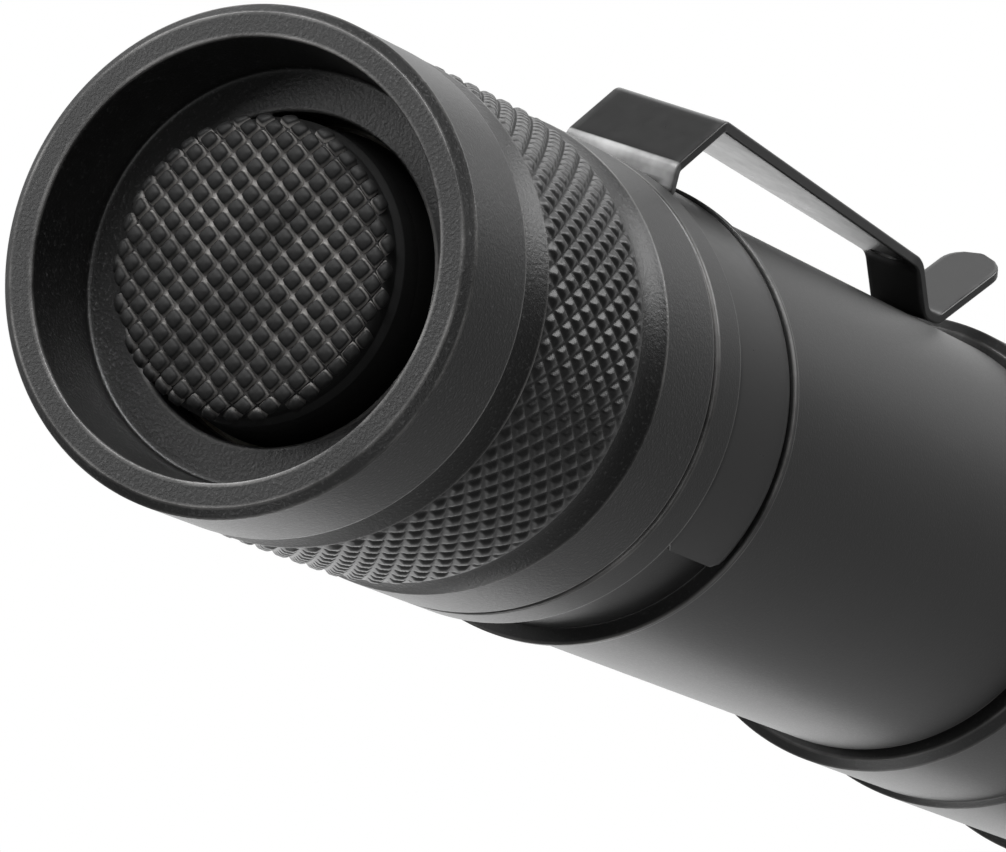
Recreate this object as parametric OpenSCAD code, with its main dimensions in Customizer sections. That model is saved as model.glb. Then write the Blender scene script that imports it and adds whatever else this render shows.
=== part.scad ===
// Tactical flashlight: knurled tail switch, pocket clip, slim head.
// The light stands on its tail ring: Z is the light's axis and Z = 0 the tail ring's flat end.
// The pocket clip lies towards +X. Every length is in millimetres.

/* [Tail cap] */
// Diameter of the plain ring round the switch
tail_d = 25; // [24:0.1:28]
// Bevel at the outer edge of the tail ring
tail_bevel = 0.5; // [0.2:0.1:1]
// Length of the plain tail ring
tail_ring_len = 6.2; // [4.5:0.1:8]
// Diameter at the bottom of the two grooves beside the knurl
tail_groove_d = 23.9; // [23.6:0.1:24.2]
// Flat length of the groove behind the knurl
rear_groove_len = 0.6; // [0.3:0.1:1.5]
// Length of the bevel that rises to the knurl
rear_bevel_len = 2.1; // [1:0.1:3]
// Length of the knurled grip
knurl_len = 11.5; // [8:0.1:16]
// Flat length of the groove in front of the knurl
front_groove_len = 1.6; // [0.8:0.1:2.5]
// Length of the bevel that rises to the front band
front_bevel_len = 1.2; // [0.5:0.1:2]
// Length of the plain front band
front_band_len = 6; // [4.5:0.1:8]
// Diameter of the plain front band
front_band_d = 24.9; // [24.4:0.1:26]

/* [Knurl] */
// Diamonds round the grip
knurl_count = 66; // [40:1:80]
// Whole diamonds along the grip
knurl_rows = 6; // [4:1:9]
// Diameter over the diamond tips
knurl_tip_d = 25.1; // [24.9:0.1:26]
// Depth of the V grooves between the diamonds
knurl_depth = 0.45; // [0.3:0.05:0.5]
// Diameter of the core under the knurl
knurl_core_d = 23.4; // [23.2:0.1:23.6]

/* [Switch recess] */
// Diameter of the recess at the tail face
recess_d = 21.6; // [20.6:0.1:22.4]
// Diameter of the recess at its floor
recess_floor_d = 20.7; // [20:0.1:21]
// Depth of the recess
recess_depth = 4.95; // [4:0.05:6]
// Thickness of the shelf that holds the rubber boot
shelf_t = 1.5; // [1:0.1:2]
// Bore of the tail cap round the switch
bay_d = 20.4; // [20:0.1:20.8]

/* [Rubber boot] */
// Diameter of the boot's patterned pad
boot_d = 15.2; // [13:0.1:15.6]
// Depth of the pad's middle below the tail face
boot_sink = 1.1; // [0.8:0.05:2]
// Height of the pad's crown
boot_crown = 0.5; // [0.3:0.05:0.8]
// Wall of the rubber
boot_wall = 1.2; // [1:0.1:1.5]
// Extra radius at the boot's foot
boot_foot_flare = 0.3; // [0.1:0.05:0.4]
// Pitch of the square bumps on the pad
bump_pitch = 0.96; // [0.8:0.02:1.3]
// Width of the grooves between the bumps, at the top
bump_gap = 0.32; // [0.2:0.02:0.4]
// Depth of the grooves between the bumps
bump_h = 0.42; // [0.25:0.01:0.5]
// Turn of the bump grid about the light's axis
bump_turn = 30; // [0:1:89]

/* [Switch] */
// How far the button travels
press_travel = 1.6; // [1:0.1:1.8]
// Diameter of the plunger's stem
stem_d = 6.4; // [5:0.1:7]
// Room between the plunger's head and the boot's wall
plunger_room = 0.5; // [0.3:0.1:2]
// Thickness of the plunger's head
plunger_head_t = 1.3; // [1:0.1:2]
// Length of the plunger's stem below its head
stem_len = 8.2; // [7.5:0.1:9]
// Length of the switch housing
switch_len = 8.2; // [7.8:0.1:10]
// Floor of the switch housing
switch_floor = 1; // [0.8:0.1:2]
// Thickness of the washer that clamps the boot's flange
washer_t = 0.8; // [0.5:0.1:1.2]
// Thickness of the boot's clamped flange
flange_t = 1.1; // [0.8:0.1:1.5]
// Width of the boot's clamped flange
flange_w = 1.9; // [1.5:0.1:2.5]
// Length of the threaded ring that holds the switch
switch_ring_len = 2; // [1.5:0.1:3]
// Width of the threaded ring that holds the switch
switch_ring_w = 3; // [2:0.1:4]
// Thickness of the tail contact plate
contact_t = 0.8; // [0.5:0.1:1]

/* [Springs] */
// Wire of the switch return spring
return_wire = 0.45; // [0.3:0.05:0.6]
// Turns of the switch return spring
return_turns = 3; // [2:1:4]
// Wire of the two battery contact springs
contact_wire = 0.7; // [0.5:0.05:0.9]
// Turns of the tail contact spring
tail_turns = 3; // [2:1:4]
// Turns of the head contact spring
head_turns = 2; // [1:1:3]
// Length of the tail contact spring when it holds the cell
tail_spring_len = 5.6; // [5:0.1:8]
// Length of the head contact spring when it holds the cell
head_spring_len = 4; // [3:0.1:6]
// Diameter of the tail contact spring's wide end, to the wire's middle
tail_spring_d = 11.2; // [9:0.1:12]
// Diameter of the head contact spring's wide end, to the wire's middle
head_spring_d = 11.4; // [9:0.1:12]

/* [Battery tube] */
// Outer diameter of the barrel
barrel_d = 24; // [23.4:0.1:24.6]
// Bore of the battery tube
tube_bore_d = 18.9; // [18.8:0.1:19.3]
// Length of the plain collar behind the clip
collar_len = 2.9; // [2:0.1:5]
// Width of the groove that the clip ring sits in
clip_groove_len = 7.2; // [5:0.1:9]
// Diameter at the bottom of the clip groove
clip_groove_d = 23.1; // [22.4:0.1:23.4]
// Diameter of the collar and of the lip in front of the clip
collar_d = 24.9; // [24.4:0.1:26]
// Length of the flat lip in front of the clip
lip_len = 0.4; // [0.2:0.1:1]
// Length of the bevel from that lip to the barrel
lip_bevel_len = 0.5; // [0.3:0.1:1]
// Length of the plain barrel
barrel_len = 40.5; // [38:0.1:60]
// Length of the bare neck between the barrel and the head
neck_len = 0.9; // [0.3:0.1:2]
// Diameter of the tail thread
tail_thread_d = 21.2; // [21:0.05:21.4]
// Length of the tail thread
tail_thread_len = 8.6; // [7:0.1:9]
// Diameter of the head thread
head_thread_d = 22; // [21.4:0.05:22.2]
// Length of the head thread
head_thread_len = 8.2; // [6:0.1:9]
// Cord thickness of the tube's two sealing rings
seal_cord = 0.7; // [0.5:0.05:0.8]

/* [Battery] */
// Diameter of the cell
cell_d = 18.6; // [18.2:0.05:18.7]
// Length of the cell without its positive button
cell_len = 64.2; // [60:0.1:66]
// Diameter of the positive button
cell_button_d = 6; // [5:0.1:7]
// Height of the positive button
cell_button_h = 1; // [0.6:0.1:1.5]

/* [Pocket clip] */
// Thickness of the spring steel
clip_t = 0.6; // [0.5:0.05:0.8]
// Width of the strap at its bend
strap_w = 6.7; // [5:0.1:8]
// Width of the strap at its turned-up tip
tip_w = 3.5; // [2.5:0.1:6]
// Angle from the strap to each end of the open ring
ring_half_angle = 117; // [100:1:140]
// Height of the strap's outside above the clip ring, at its bend
strap_rise = 4.1; // [3:0.05:4.3]
// Length of the strap's straight run
strap_run = 30.5; // [24:0.5:34]
// How far the straight run sinks towards the barrel
strap_sink = 1.4; // [0.5:0.05:1.8]
// Length of the strap's curve down to the barrel
dip_len = 5.4; // [4:0.1:8]
// Length of the turned-up tip
tip_len = 7.5; // [5:0.1:8]
// Height of the turned-up tip
tip_rise = 4.6; // [3:0.1:5]
// Diameter of the hole near the tip
clip_hole_d = 1.6; // [1:0.1:2.5]

/* [Head] */
// Diameter of the head's rear section
head_rear_d = 26; // [25.6:0.1:27]
// Length of the head's rear section
head_rear_len = 13.4; // [10:0.1:18]
// Diameter of the head's front section
head_d = 26.7; // [26.4:0.1:28]
// Length of the head's front section
head_front_len = 20; // [20:0.1:26]
// Bevel at the head's rear edge
head_bevel = 0.6; // [0.3:0.1:1]
// Thickness of the shelf that carries the light source
heat_shelf_t = 3; // [2:0.1:4]
// Depth of the driver bay behind that shelf
driver_bay_len = 5.6; // [5:0.1:7]

/* [Bezel and lens] */
// Outer diameter of the bezel
bezel_d = 27.8; // [27.4:0.1:30]
// Length of the bezel
bezel_len = 10; // [9:0.1:14]
// Length of the head's front that the bezel covers
bezel_grip = 5.25; // [4:0.05:7]
// Wall of the head's front under the bezel
head_neck_wall = 0.75; // [0.5:0.05:1]
// Opening in front of the lens
window_d = 22; // [20:0.1:22.8]
// Scallops round the bezel's rim
scallop_count = 6; // [4:1:10]
// Depth of the scallops
scallop_depth = 1; // [0.5:0.1:1.5]
// Radius of each scallop
scallop_r = 5; // [4:0.1:8]
// Thickness of the glass
lens_t = 2; // [1.5:0.1:2.5]
// Diameter of the glass
lens_d = 23.8; // [23.4:0.1:24]
// Depth of the reflector
reflector_len = 15.2; // [12:0.1:16]
// Opening of the reflector round the light source
reflector_hole_d = 7; // [6.6:0.1:8]

/* [Light source] */
// Diameter of the light source's board
star_d = 20; // [16:0.1:22]
// Thickness of that board
star_t = 1.6; // [1:0.1:2]
// Side of the emitter
led_side = 5; // [3.5:0.1:5]
// Thickness of the emitter's base
led_t = 0.7; // [0.4:0.1:1]
// Diameter of the emitter's dome
dome_d = 4.2; // [3:0.1:4.4]
// Thickness of the driver board
driver_t = 1.2; // [0.8:0.1:1.6]
// Diameter of the driver board
driver_d = 21.4; // [20:0.1:21.8]
// Length of the threaded ring that holds the driver board
driver_ring_len = 2.65; // [1.5:0.05:4]
// Width of that ring's overlap on the board's edge
driver_ring_grip = 2.4; // [1.5:0.1:3.5]
// Diameter of the driver's coil
coil_d = 6; // [4:0.1:7]
// Height of the driver's coil
coil_h = 2.6; // [1.5:0.1:3.2]
// Distance of the coil from the light's axis
coil_y = 5; // [4:0.1:6.5]
// Length, width and height of the controller
chip_size = [5, 4, 1.2];
// Corner of the controller on the board
chip_at = [-6.5, -5.5];
// Length, width and height of each capacitor
cap_size = [1.6, 3.2, 1.4];
// Corners of the two capacitors on the board
cap_at = [[1, -5], [4, -5]];

/* [Hidden] */
$fn = 96;

// Clearances
gap = 0.3;
run_fit = 0.1;
seal_fit = 0.07;
seat = 0.02;
cut = 1;

// Stations along the axis, from the tail
knurl_z0 = tail_ring_len + rear_groove_len + rear_bevel_len;
knurl_z1 = knurl_z0 + knurl_len;
front_band_z0 = knurl_z1 + front_groove_len + front_bevel_len;
tail_cap_z1 = front_band_z0 + front_band_len;
collar_z0 = tail_cap_z1 + gap;
clip_groove_z0 = collar_z0 + collar_len;
clip_groove_z1 = clip_groove_z0 + clip_groove_len;
barrel_z0 = clip_groove_z1 + lip_len + lip_bevel_len;
barrel_z1 = barrel_z0 + barrel_len;
tube_z0 = collar_z0 - gap - tail_thread_len;
tube_z1 = barrel_z1 + head_thread_len;

// Tail cap and switch
tail_r = tail_d / 2;
shelf_z1 = recess_depth + shelf_t;
flange_z0 = shelf_z1;
washer_z0 = flange_z0 + flange_t;
switch_z0 = washer_z0 + washer_t;
switch_z1 = switch_z0 + switch_len;
switch_ring_z1 = switch_z1 + switch_ring_len;
contact_z1 = switch_z1 + contact_t;
boot_hole_r = boot_d / 2 + boot_foot_flare + gap;
bay_r = max(bay_d / 2, boot_hole_r + flange_w + run_fit);
bay_part_r = bay_r - run_fit;
boot_foot_z = washer_z0;
boot_in_r = boot_d / 2 - boot_wall;
pad_dome_r = (pow(boot_d / 2, 2) + pow(boot_crown, 2)) / (2 * boot_crown);
plunger_z0 = boot_sink + boot_crown + boot_wall;
plunger_z1 = plunger_z0 + plunger_head_t + stem_len;
boot_well_z1 = boot_foot_z + press_travel + gap;
return_z1 = switch_z1 - switch_floor;

// Battery and contacts
cell_z0 = contact_z1 + tail_spring_len;
cell_z1 = cell_z0 + cell_len;
cell_tip_z = cell_z1 + cell_button_h;

// Clip
clip_ring_r0 = clip_groove_d / 2 + run_fit;
clip_ring_r1 = clip_ring_r0 + clip_t;
clip_ring_z0 = clip_groove_z0 + gap;
clip_ring_z1 = clip_groove_z1 - gap;

// Head
head_z0 = barrel_z1 + neck_len;
head_step_z = head_z0 + head_rear_len;
head_socket_r = head_thread_d / 2 + run_fit;
driver_z0 = max(tube_z1 + gap + driver_ring_len, cell_tip_z + head_spring_len);
driver_z1 = driver_z0 + driver_t;
driver_ring_z0 = driver_z0 - driver_ring_len;
shelf_z0 = driver_z0 + driver_bay_len;
star_z0 = shelf_z0 + heat_shelf_t;
star_z1 = star_z0 + star_t;
reflector_z0 = star_z1 + led_t + gap;
reflector_z1 = reflector_z0 + reflector_len;
reflector_r = lens_d / 2 - run_fit;
lens_z1 = reflector_z1 + lens_t;
head_z1 = max(head_step_z + head_front_len, lens_z1 - bezel_grip);
head_bore_r = lens_d / 2 + run_fit;
lens_seal_z1 = lens_z1 + seal_cord;
bezel_z0 = head_z1 + gap;
bezel_lip_z0 = lens_seal_z1;
bezel_z1 = bezel_z0 + bezel_len;
bezel_seat_r = head_bore_r + head_neck_wall;
bezel_seat_z = lens_z1;

// Colours
anodised = "#232425";
rubber = "#1b1b1c";
steel = "#1d1e20";
brass = "#b8924a";
nickel = "#b9bbbd";
board_green = "#2f4f3a";

// A ring between two radii and two heights
module ring(r0, r1, z0, z1) {
    translate([0, 0, z0])
        difference() {
            cylinder(r = r1, h = z1 - z0);
            translate([0, 0, -cut])
                cylinder(r = r0, h = z1 - z0 + 2 * cut);
        }
}

// A plain disc between two heights
module disc(r, z0, z1) {
    translate([0, 0, z0])
        cylinder(r = r, h = z1 - z0);
}

// A round sealing ring with its outside at radius r
module seal_ring(r, z) {
    translate([0, 0, z])
        rotate_extrude()
            translate([r - seal_cord / 2, 0])
                circle(d = seal_cord, $fn = 32);
}

// A wound spring as one tube: 8 rings of 6 sides a turn, from radius ra to radius rb
SIDES = 6;
RINGS = 8;
function coil_point(ra, rb, za, zb, wire, turns, k, j) =
    let (share = k / (turns * RINGS),
         turn = 360 * k / RINGS,
         side = 360 * j / SIDES,
         r = ra + (rb - ra) * share + wire / 2 * cos(side))
    [r * cos(turn), r * sin(turn), za + (zb - za) * share + wire / 2 * sin(side)];

module coil(ra, rb, z0, z1, wire, turns) {
    za = z0 + wire / 2;
    zb = z1 - wire / 2;
    last = turns * RINGS;
    points = [for (k = [0 : last], j = [0 : SIDES - 1]) coil_point(ra, rb, za, zb, wire, turns, k, j)];
    walls = [for (k = [0 : last - 1], j = [0 : SIDES - 1])
        let (a = k * SIDES + j,
             b = k * SIDES + (j + 1) % SIDES,
             c = b + SIDES,
             d = a + SIDES)
        each [[a, b, c], [a, c, d]]];
    start = [for (j = [1 : SIDES - 2]) [0, j + 1, j]];
    end = [for (j = [1 : SIDES - 2]) [last * SIDES, last * SIDES + j, last * SIDES + j + 1]];
    polyhedron(points, concat(walls, start, end), convexity = 6);
}

// Tail cap: stepped outside, tapered recess, shelf for the boot and a threaded socket
module tail_cap() {
    groove_r = tail_groove_d / 2;
    band_r = front_band_d / 2;
    outside = [
        [0, 0],
        [tail_r - tail_bevel, 0],
        [tail_r, tail_bevel],
        [tail_r, tail_ring_len],
        [groove_r, tail_ring_len],
        [groove_r, tail_ring_len + rear_groove_len],
        [tail_r, knurl_z0],
        [knurl_core_d / 2, knurl_z0],
        [knurl_core_d / 2, knurl_z1],
        [groove_r, knurl_z1],
        [groove_r, knurl_z1 + front_groove_len],
        [band_r, front_band_z0],
        [band_r, tail_cap_z1 - tail_bevel / 2],
        [band_r - tail_bevel / 2, tail_cap_z1],
        [0, tail_cap_z1]
    ];
    color(anodised)
        difference() {
            rotate_extrude() polygon(outside);
            rotate_extrude()
                polygon([
                    [0, -cut],
                    [recess_d / 2, -cut],
                    [recess_d / 2, 0],
                    [recess_floor_d / 2, recess_depth],
                    [0, recess_depth]
                ]);
            disc(boot_hole_r, recess_depth - cut, tail_cap_z1);
            disc(bay_r, shelf_z1, tail_cap_z1);
            disc(tail_thread_d / 2 + run_fit, tube_z0 - gap, tail_cap_z1 + cut);
        }
}

// Diamond knurl: a sleeve whose outside climbs to a tip in each diamond
module tail_knurl() {
    columns = 2 * knurl_count;
    rows = 2 * knurl_rows;
    tip_r = knurl_tip_d / 2;
    root_r = tip_r - knurl_depth;
    bore_r = knurl_core_d / 2 / cos(180 / columns) + seat;
    function outer_r(i, j) = (j > 0 && j < rows && (i + j) % 2 == 0) ? tip_r : root_r;
    function height(j) = knurl_z0 + knurl_len * j / rows;
    function at(r, i, z) = [r * cos(360 * i / columns), r * sin(360 * i / columns), z];
    outer = [for (j = [0 : rows], i = [0 : columns - 1]) at(outer_r(i, j), i, height(j))];
    inner = [for (j = [0, rows], i = [0 : columns - 1]) at(bore_r, i, height(j))];
    low = (rows + 1) * columns;
    high = low + columns;
    diamonds = [for (j = [0 : rows - 1], i = [0 : columns - 1])
        let (n = (i + 1) % columns,
             a = j * columns + i,
             b = j * columns + n,
             c = b + columns,
             d = a + columns)
        each (i + j) % 2 == 0 ? [[a, d, b], [b, d, c]] : [[a, c, b], [a, d, c]]];
    rims = [for (i = [0 : columns - 1])
        let (n = (i + 1) % columns,
             top = rows * columns)
        each [
            [i, n, low + n], [i, low + n, low + i],
            [top + i, high + i, high + n], [top + i, high + n, top + n],
            [low + i, low + n, high + n], [low + i, high + n, high + i]
        ]];
    color(anodised)
        polyhedron(concat(outer, inner), concat(diamonds, rims), convexity = 10);
}

// Rubber flange that the shelf and the washer clamp
module boot_flange() {
    color(rubber) ring(boot_hole_r, bay_part_r, flange_z0, washer_z0);
}

module boot_washer() {
    color(brass) ring(boot_hole_r, bay_part_r, washer_z0, switch_z0);
}

// Rubber cap over the switch: a crowned pad cut into square bumps, and a flared skirt
module switch_boot() {
    r = boot_d / 2;
    edge_z = boot_sink + boot_crown;
    groove_n = ceil(r / bump_pitch);
    bottom_w = bump_gap * 0.6;
    color(rubber)
        difference() {
            union() {
                intersection() {
                    translate([0, 0, boot_sink + pad_dome_r])
                        sphere(r = pad_dome_r);
                    disc(r, boot_sink - cut, edge_z + boot_wall);
                }
                rotate_extrude()
                    polygon([
                        [0, edge_z],
                        [r, edge_z],
                        [r, (edge_z + boot_foot_z) / 2],
                        [r + boot_foot_flare, boot_foot_z],
                        [0, boot_foot_z]
                    ]);
            }
            disc(boot_in_r, plunger_z0, boot_foot_z + cut);
            for (turn = [bump_turn, bump_turn + 90], k = [-groove_n : groove_n])
                rotate([0, 0, turn])
                    translate([-boot_d, (k + 0.5) * bump_pitch, 0])
                        rotate([90, 0, 90])
                            linear_extrude(2 * boot_d)
                                polygon([
                                    [-bump_gap / 2 - cut * 0.2, boot_sink - cut],
                                    [bump_gap / 2 + cut * 0.2, boot_sink - cut],
                                    [bottom_w / 2, boot_sink + bump_h],
                                    [-bottom_w / 2, boot_sink + bump_h]
                                ]);
        }
}

// Plunger: a broad head that fills the boot and a stem that slides in the housing
module switch_plunger() {
    head_z1 = plunger_z0 + plunger_head_t;
    color("#d8d6cf")
        union() {
            disc(boot_in_r - plunger_room, plunger_z0, head_z1);
            disc(stem_d / 2, plunger_z0, plunger_z1);
        }
}

// Switch housing: a well that clears the boot's foot and a bore that guides the stem
module switch_housing() {
    color("#e6e3da")
        difference() {
            disc(bay_part_r, switch_z0, switch_z1);
            disc(boot_hole_r, switch_z0 - cut, boot_well_z1);
            disc(stem_d / 2 + run_fit, switch_z0, return_z1);
        }
}

module switch_return_spring() {
    r = stem_d / 2 - return_wire;
    color(nickel) coil(r, r, plunger_z1 + seat, return_z1 - seat, return_wire, return_turns);
}

// Threaded ring with two slots for a spanner
module switch_retaining_ring() {
    slot = 2;
    inner_r = bay_part_r - switch_ring_w;
    color(brass)
        difference() {
            ring(inner_r, bay_part_r, switch_z1, switch_ring_z1);
            translate([-bay_r - cut, -slot / 2, switch_ring_z1 - switch_ring_len / 2])
                cube([2 * (bay_r + cut), slot, switch_ring_len]);
        }
}

module tail_contact_plate() {
    color(brass) disc(bay_part_r - switch_ring_w - gap, switch_z1, contact_z1);
}

// Tail contact spring: wide on its plate, narrow at the cell
module tail_contact_spring() {
    color(nickel)
        coil(tail_spring_d / 2, cell_button_d / 2, contact_z1 + seat, cell_z0 - seat, contact_wire, tail_turns);
}

// Battery tube: tail thread, collar, clip groove, barrel and head thread
module battery_tube() {
    tail_thread_r = tail_thread_d / 2;
    head_thread_r = head_thread_d / 2;
    collar_r = collar_d / 2;
    barrel_r = barrel_d / 2;
    edge = 0.3;
    outside = [
        [0, tube_z0],
        [tail_thread_r - edge, tube_z0],
        [tail_thread_r, tube_z0 + edge],
        [tail_thread_r, collar_z0],
        [collar_r - edge, collar_z0],
        [collar_r, collar_z0 + edge],
        [collar_r, clip_groove_z0],
        [clip_groove_d / 2, clip_groove_z0],
        [clip_groove_d / 2, clip_groove_z1],
        [collar_r, clip_groove_z1],
        [collar_r, clip_groove_z1 + lip_len],
        [barrel_r, barrel_z0],
        [barrel_r, barrel_z1 - edge],
        [barrel_r - edge, barrel_z1],
        [head_thread_r, barrel_z1],
        [head_thread_r, tube_z1 - edge],
        [head_thread_r - edge, tube_z1],
        [0, tube_z1]
    ];
    color(anodised)
        difference() {
            rotate_extrude() polygon(outside);
            disc(tube_bore_d / 2, tube_z0 - cut, tube_z1 + cut);
            seal_groove(tail_thread_r, rear_seal_z);
            seal_groove(head_thread_r, front_seal_z);
        }
}

rear_seal_z = collar_z0 - 2;
front_seal_z = barrel_z1 + 2;

// Groove in a thread of radius r for a sealing ring at height z
module seal_groove(r, z) {
    width = seal_cord + 2 * seal_fit;
    depth = seal_cord - run_fit + 2 * seal_fit;
    ring(r - depth, r + cut, z - width / 2, z + width / 2);
}

module rear_seal() {
    color("#8d2f22") seal_ring(tail_thread_d / 2 + run_fit - seal_fit, rear_seal_z);
}

module front_seal() {
    color("#8d2f22") seal_ring(head_thread_d / 2 + run_fit - seal_fit, front_seal_z);
}

// Rechargeable cell: a can with a rolled top edge, and its positive button
module battery_can() {
    r = cell_d / 2;
    roll = 0.6;
    color("#2f5f8f")
        rotate_extrude()
            polygon([
                [0, cell_z0],
                [r - roll / 2, cell_z0],
                [r, cell_z0 + roll / 2],
                [r, cell_z1 - 3 * roll],
                [r - roll, cell_z1 - 2.5 * roll],
                [r - roll, cell_z1 - 2 * roll],
                [r, cell_z1 - 1.5 * roll],
                [r, cell_z1 - roll],
                [r - roll, cell_z1],
                [0, cell_z1]
            ]);
}

module battery_button() {
    color(nickel) disc(cell_button_d / 2, cell_z1, cell_tip_z);
}

// The strap's middle line as (height along the axis, distance from the axis)
barrel_r = barrel_d / 2;
bend_x = clip_ring_r1 + strap_rise - clip_t / 2;
foot_x = clip_ring_r1 - clip_t / 2;
riser_z0 = clip_ring_z1 - 4.8;
bend_z = riser_z0 + strap_rise;
run_z1 = bend_z + strap_run;
run_x1 = bend_x - strap_sink;
touch_x = barrel_r + run_fit + clip_t / 2;
touch_z = run_z1 + dip_len;
function blend(a, b, s) = a + (b - a) * (1 - cos(180 * s)) / 2;
strap_line = concat(
    [[riser_z0 - 0.35, foot_x], [riser_z0, foot_x], [bend_z - 0.5, bend_x - 0.5], [bend_z + 0.35, bend_x]],
    [for (s = [0 : 0.2 : 1]) [run_z1 + dip_len * s, blend(run_x1, touch_x, s)]],
    [for (s = [0.2 : 0.2 : 1]) [touch_z + tip_len * s, touch_x + tip_rise * pow(s, 1.2)]]
);

// The band of thickness t round a line of points, mitred at each point
function away(a, b) = let (d = b - a) [-d[1], d[0]] / norm(d);
function mitre(line, i) =
    let (n0 = away(line[max(i - 1, 0)], line[max(i, 1)]),
         n1 = away(line[min(i, len(line) - 2)], line[min(i + 1, len(line) - 1)]),
         m = (n0 + n1) / norm(n0 + n1))
    m / (m * n0);
function band(line, t) = concat(
    [for (i = [0 : len(line) - 1]) line[i] + mitre(line, i) * t / 2],
    [for (i = [len(line) - 1 : -1 : 0]) line[i] - mitre(line, i) * t / 2]
);

// Pocket clip: an open spring ring and a bent strap of the same sheet
module pocket_clip() {
    tip_z = touch_z + tip_len;
    hole_z = run_z1 + 0.2;
    half_w = strap_w / 2;
    tip_r = tip_w / 2;
    half_plan = [[riser_z0 - 1, half_w], [bend_z, half_w], [run_z1, tip_r], [tip_z - tip_r, tip_r]];
    color(steel)
        difference() {
            union() {
                rotate([0, 0, -ring_half_angle])
                    rotate_extrude(angle = 2 * ring_half_angle)
                        translate([clip_ring_r0, clip_ring_z0])
                            square([clip_t, clip_ring_z1 - clip_ring_z0]);
                intersection() {
                    rotate([90, 0, 0])
                        linear_extrude(strap_w, center = true)
                            mirror([1, -1]) polygon(band(strap_line, clip_t));
                    rotate([0, 90, 0])
                        mirror([1, 0, 0])
                            linear_extrude(2 * bezel_d)
                                union() {
                                    for (side = [0, 1])
                                        mirror([0, side])
                                            polygon(concat(half_plan, [[tip_z - tip_r, 0], [riser_z0 - 1, 0]]));
                                    translate([tip_z - tip_r, 0])
                                        circle(r = tip_r);
                                }
                }
            }
            translate([0, 0, hole_z])
                rotate([0, 90, 0])
                    cylinder(d = clip_hole_d, h = bezel_d);
        }
}

// Head: threaded socket, driver bay, solid shelf for the light source and reflector bore
module head_housing() {
    rear_r = head_rear_d / 2;
    front_r = head_d / 2;
    step = front_r - rear_r;
    color(anodised)
        difference() {
            rotate_extrude()
                polygon([
                    [0, head_z0],
                    [rear_r - head_bevel, head_z0],
                    [rear_r, head_z0 + head_bevel],
                    [rear_r, head_step_z - step],
                    [front_r, head_step_z],
                    [front_r, head_z1],
                    [bezel_seat_r, head_z1],
                    [bezel_seat_r, bezel_seat_z],
                    [0, bezel_seat_z]
                ]);
            disc(head_socket_r, head_z0 - cut, shelf_z0);
            disc(head_bore_r, star_z0, bezel_seat_z + cut);
            translate([star_d / 4, 0, shelf_z0 - cut])
                cylinder(d = 2, h = heat_shelf_t + 2 * cut);
        }
}

module driver_retaining_ring() {
    slot = 2;
    inner_r = driver_d / 2 - driver_ring_grip;
    color(brass)
        difference() {
            ring(inner_r, head_socket_r - run_fit, driver_ring_z0, driver_z0);
            translate([-head_d, -slot / 2, driver_ring_z0 - cut])
                cube([2 * head_d, slot, cut + driver_ring_len / 2]);
        }
}

module driver_board() {
    color(board_green) disc(driver_d / 2, driver_z0, driver_z1);
}

// Parts soldered to the driver board: a coil, a controller and two capacitors
module driver_components() {
    color("#3a3a3c")
        union() {
            translate([0, coil_y, driver_z1])
                cylinder(d = coil_d, h = coil_h);
            translate([chip_at[0], chip_at[1], driver_z1])
                cube(chip_size);
            for (corner = cap_at)
                translate([corner[0], corner[1], driver_z1])
                    cube(cap_size);
        }
}

module head_contact_spring() {
    color(nickel)
        coil(cell_button_d / 2 - contact_wire / 2, head_spring_d / 2, cell_tip_z + seat,
            driver_z0 - seat, contact_wire, head_turns);
}

module led_board() {
    color("#e8e8e4")
        difference() {
            disc(star_d / 2, star_z0, star_z1);
            for (side = [-1, 1])
                translate([0, side * star_d / 2, star_z0 - cut])
                    cylinder(d = 3.2, h = star_t + 2 * cut);
        }
}

module led_emitter() {
    color("#f2efe2")
        translate([-led_side / 2, -led_side / 2, star_z1])
            cube([led_side, led_side, led_t]);
}

module led_dome() {
    color("#e9d36a")
        intersection() {
            translate([0, 0, star_z1 + led_t])
                sphere(d = dome_d);
            disc(dome_d, star_z1 + led_t, star_z1 + led_t + dome_d);
        }
}

// Ring that centres the reflector round the emitter
module centring_ring() {
    color("#dedcd4")
        difference() {
            ring(led_side * 0.5, reflector_hole_d / 2 + 2, star_z1, reflector_z0);
            translate([-led_side / 2 - run_fit, -led_side / 2 - run_fit, star_z1 - cut])
                cube([led_side + 2 * run_fit, led_side + 2 * run_fit, led_t + gap + 2 * cut]);
        }
}

// Reflector: a polished bowl, its depth growing with the square of its radius
module reflector() {
    steps = 14;
    mouth_r = window_d / 2;
    hole_r = reflector_hole_d / 2;
    rim = 1;
    function depth(r) = reflector_z0 + reflector_len * (r * r - hole_r * hole_r) / (mouth_r * mouth_r - hole_r * hole_r);
    bowl = [for (k = [0 : steps]) let (r = hole_r + (mouth_r - hole_r) * k / steps) [r, depth(r)]];
    color("#d9dbde")
        rotate_extrude()
            polygon(concat(bowl, [
                [reflector_r, reflector_z1],
                [reflector_r, reflector_z1 - rim],
                [reflector_r - rim, reflector_z1 - rim],
                [hole_r + 2, reflector_z0]
            ]));
}

module lens() {
    edge = 0.2;
    r = lens_d / 2;
    color([0.85, 0.9, 0.95, 0.4])
        rotate_extrude()
            polygon([
                [0, reflector_z1], [r - edge, reflector_z1], [r, reflector_z1 + edge],
                [r, lens_z1 - edge], [r - edge, lens_z1], [0, lens_z1]
            ]);
}

module lens_seal() {
    color(rubber) seal_ring(head_bore_r - seal_fit, lens_z1 + seal_cord / 2);
}

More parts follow.
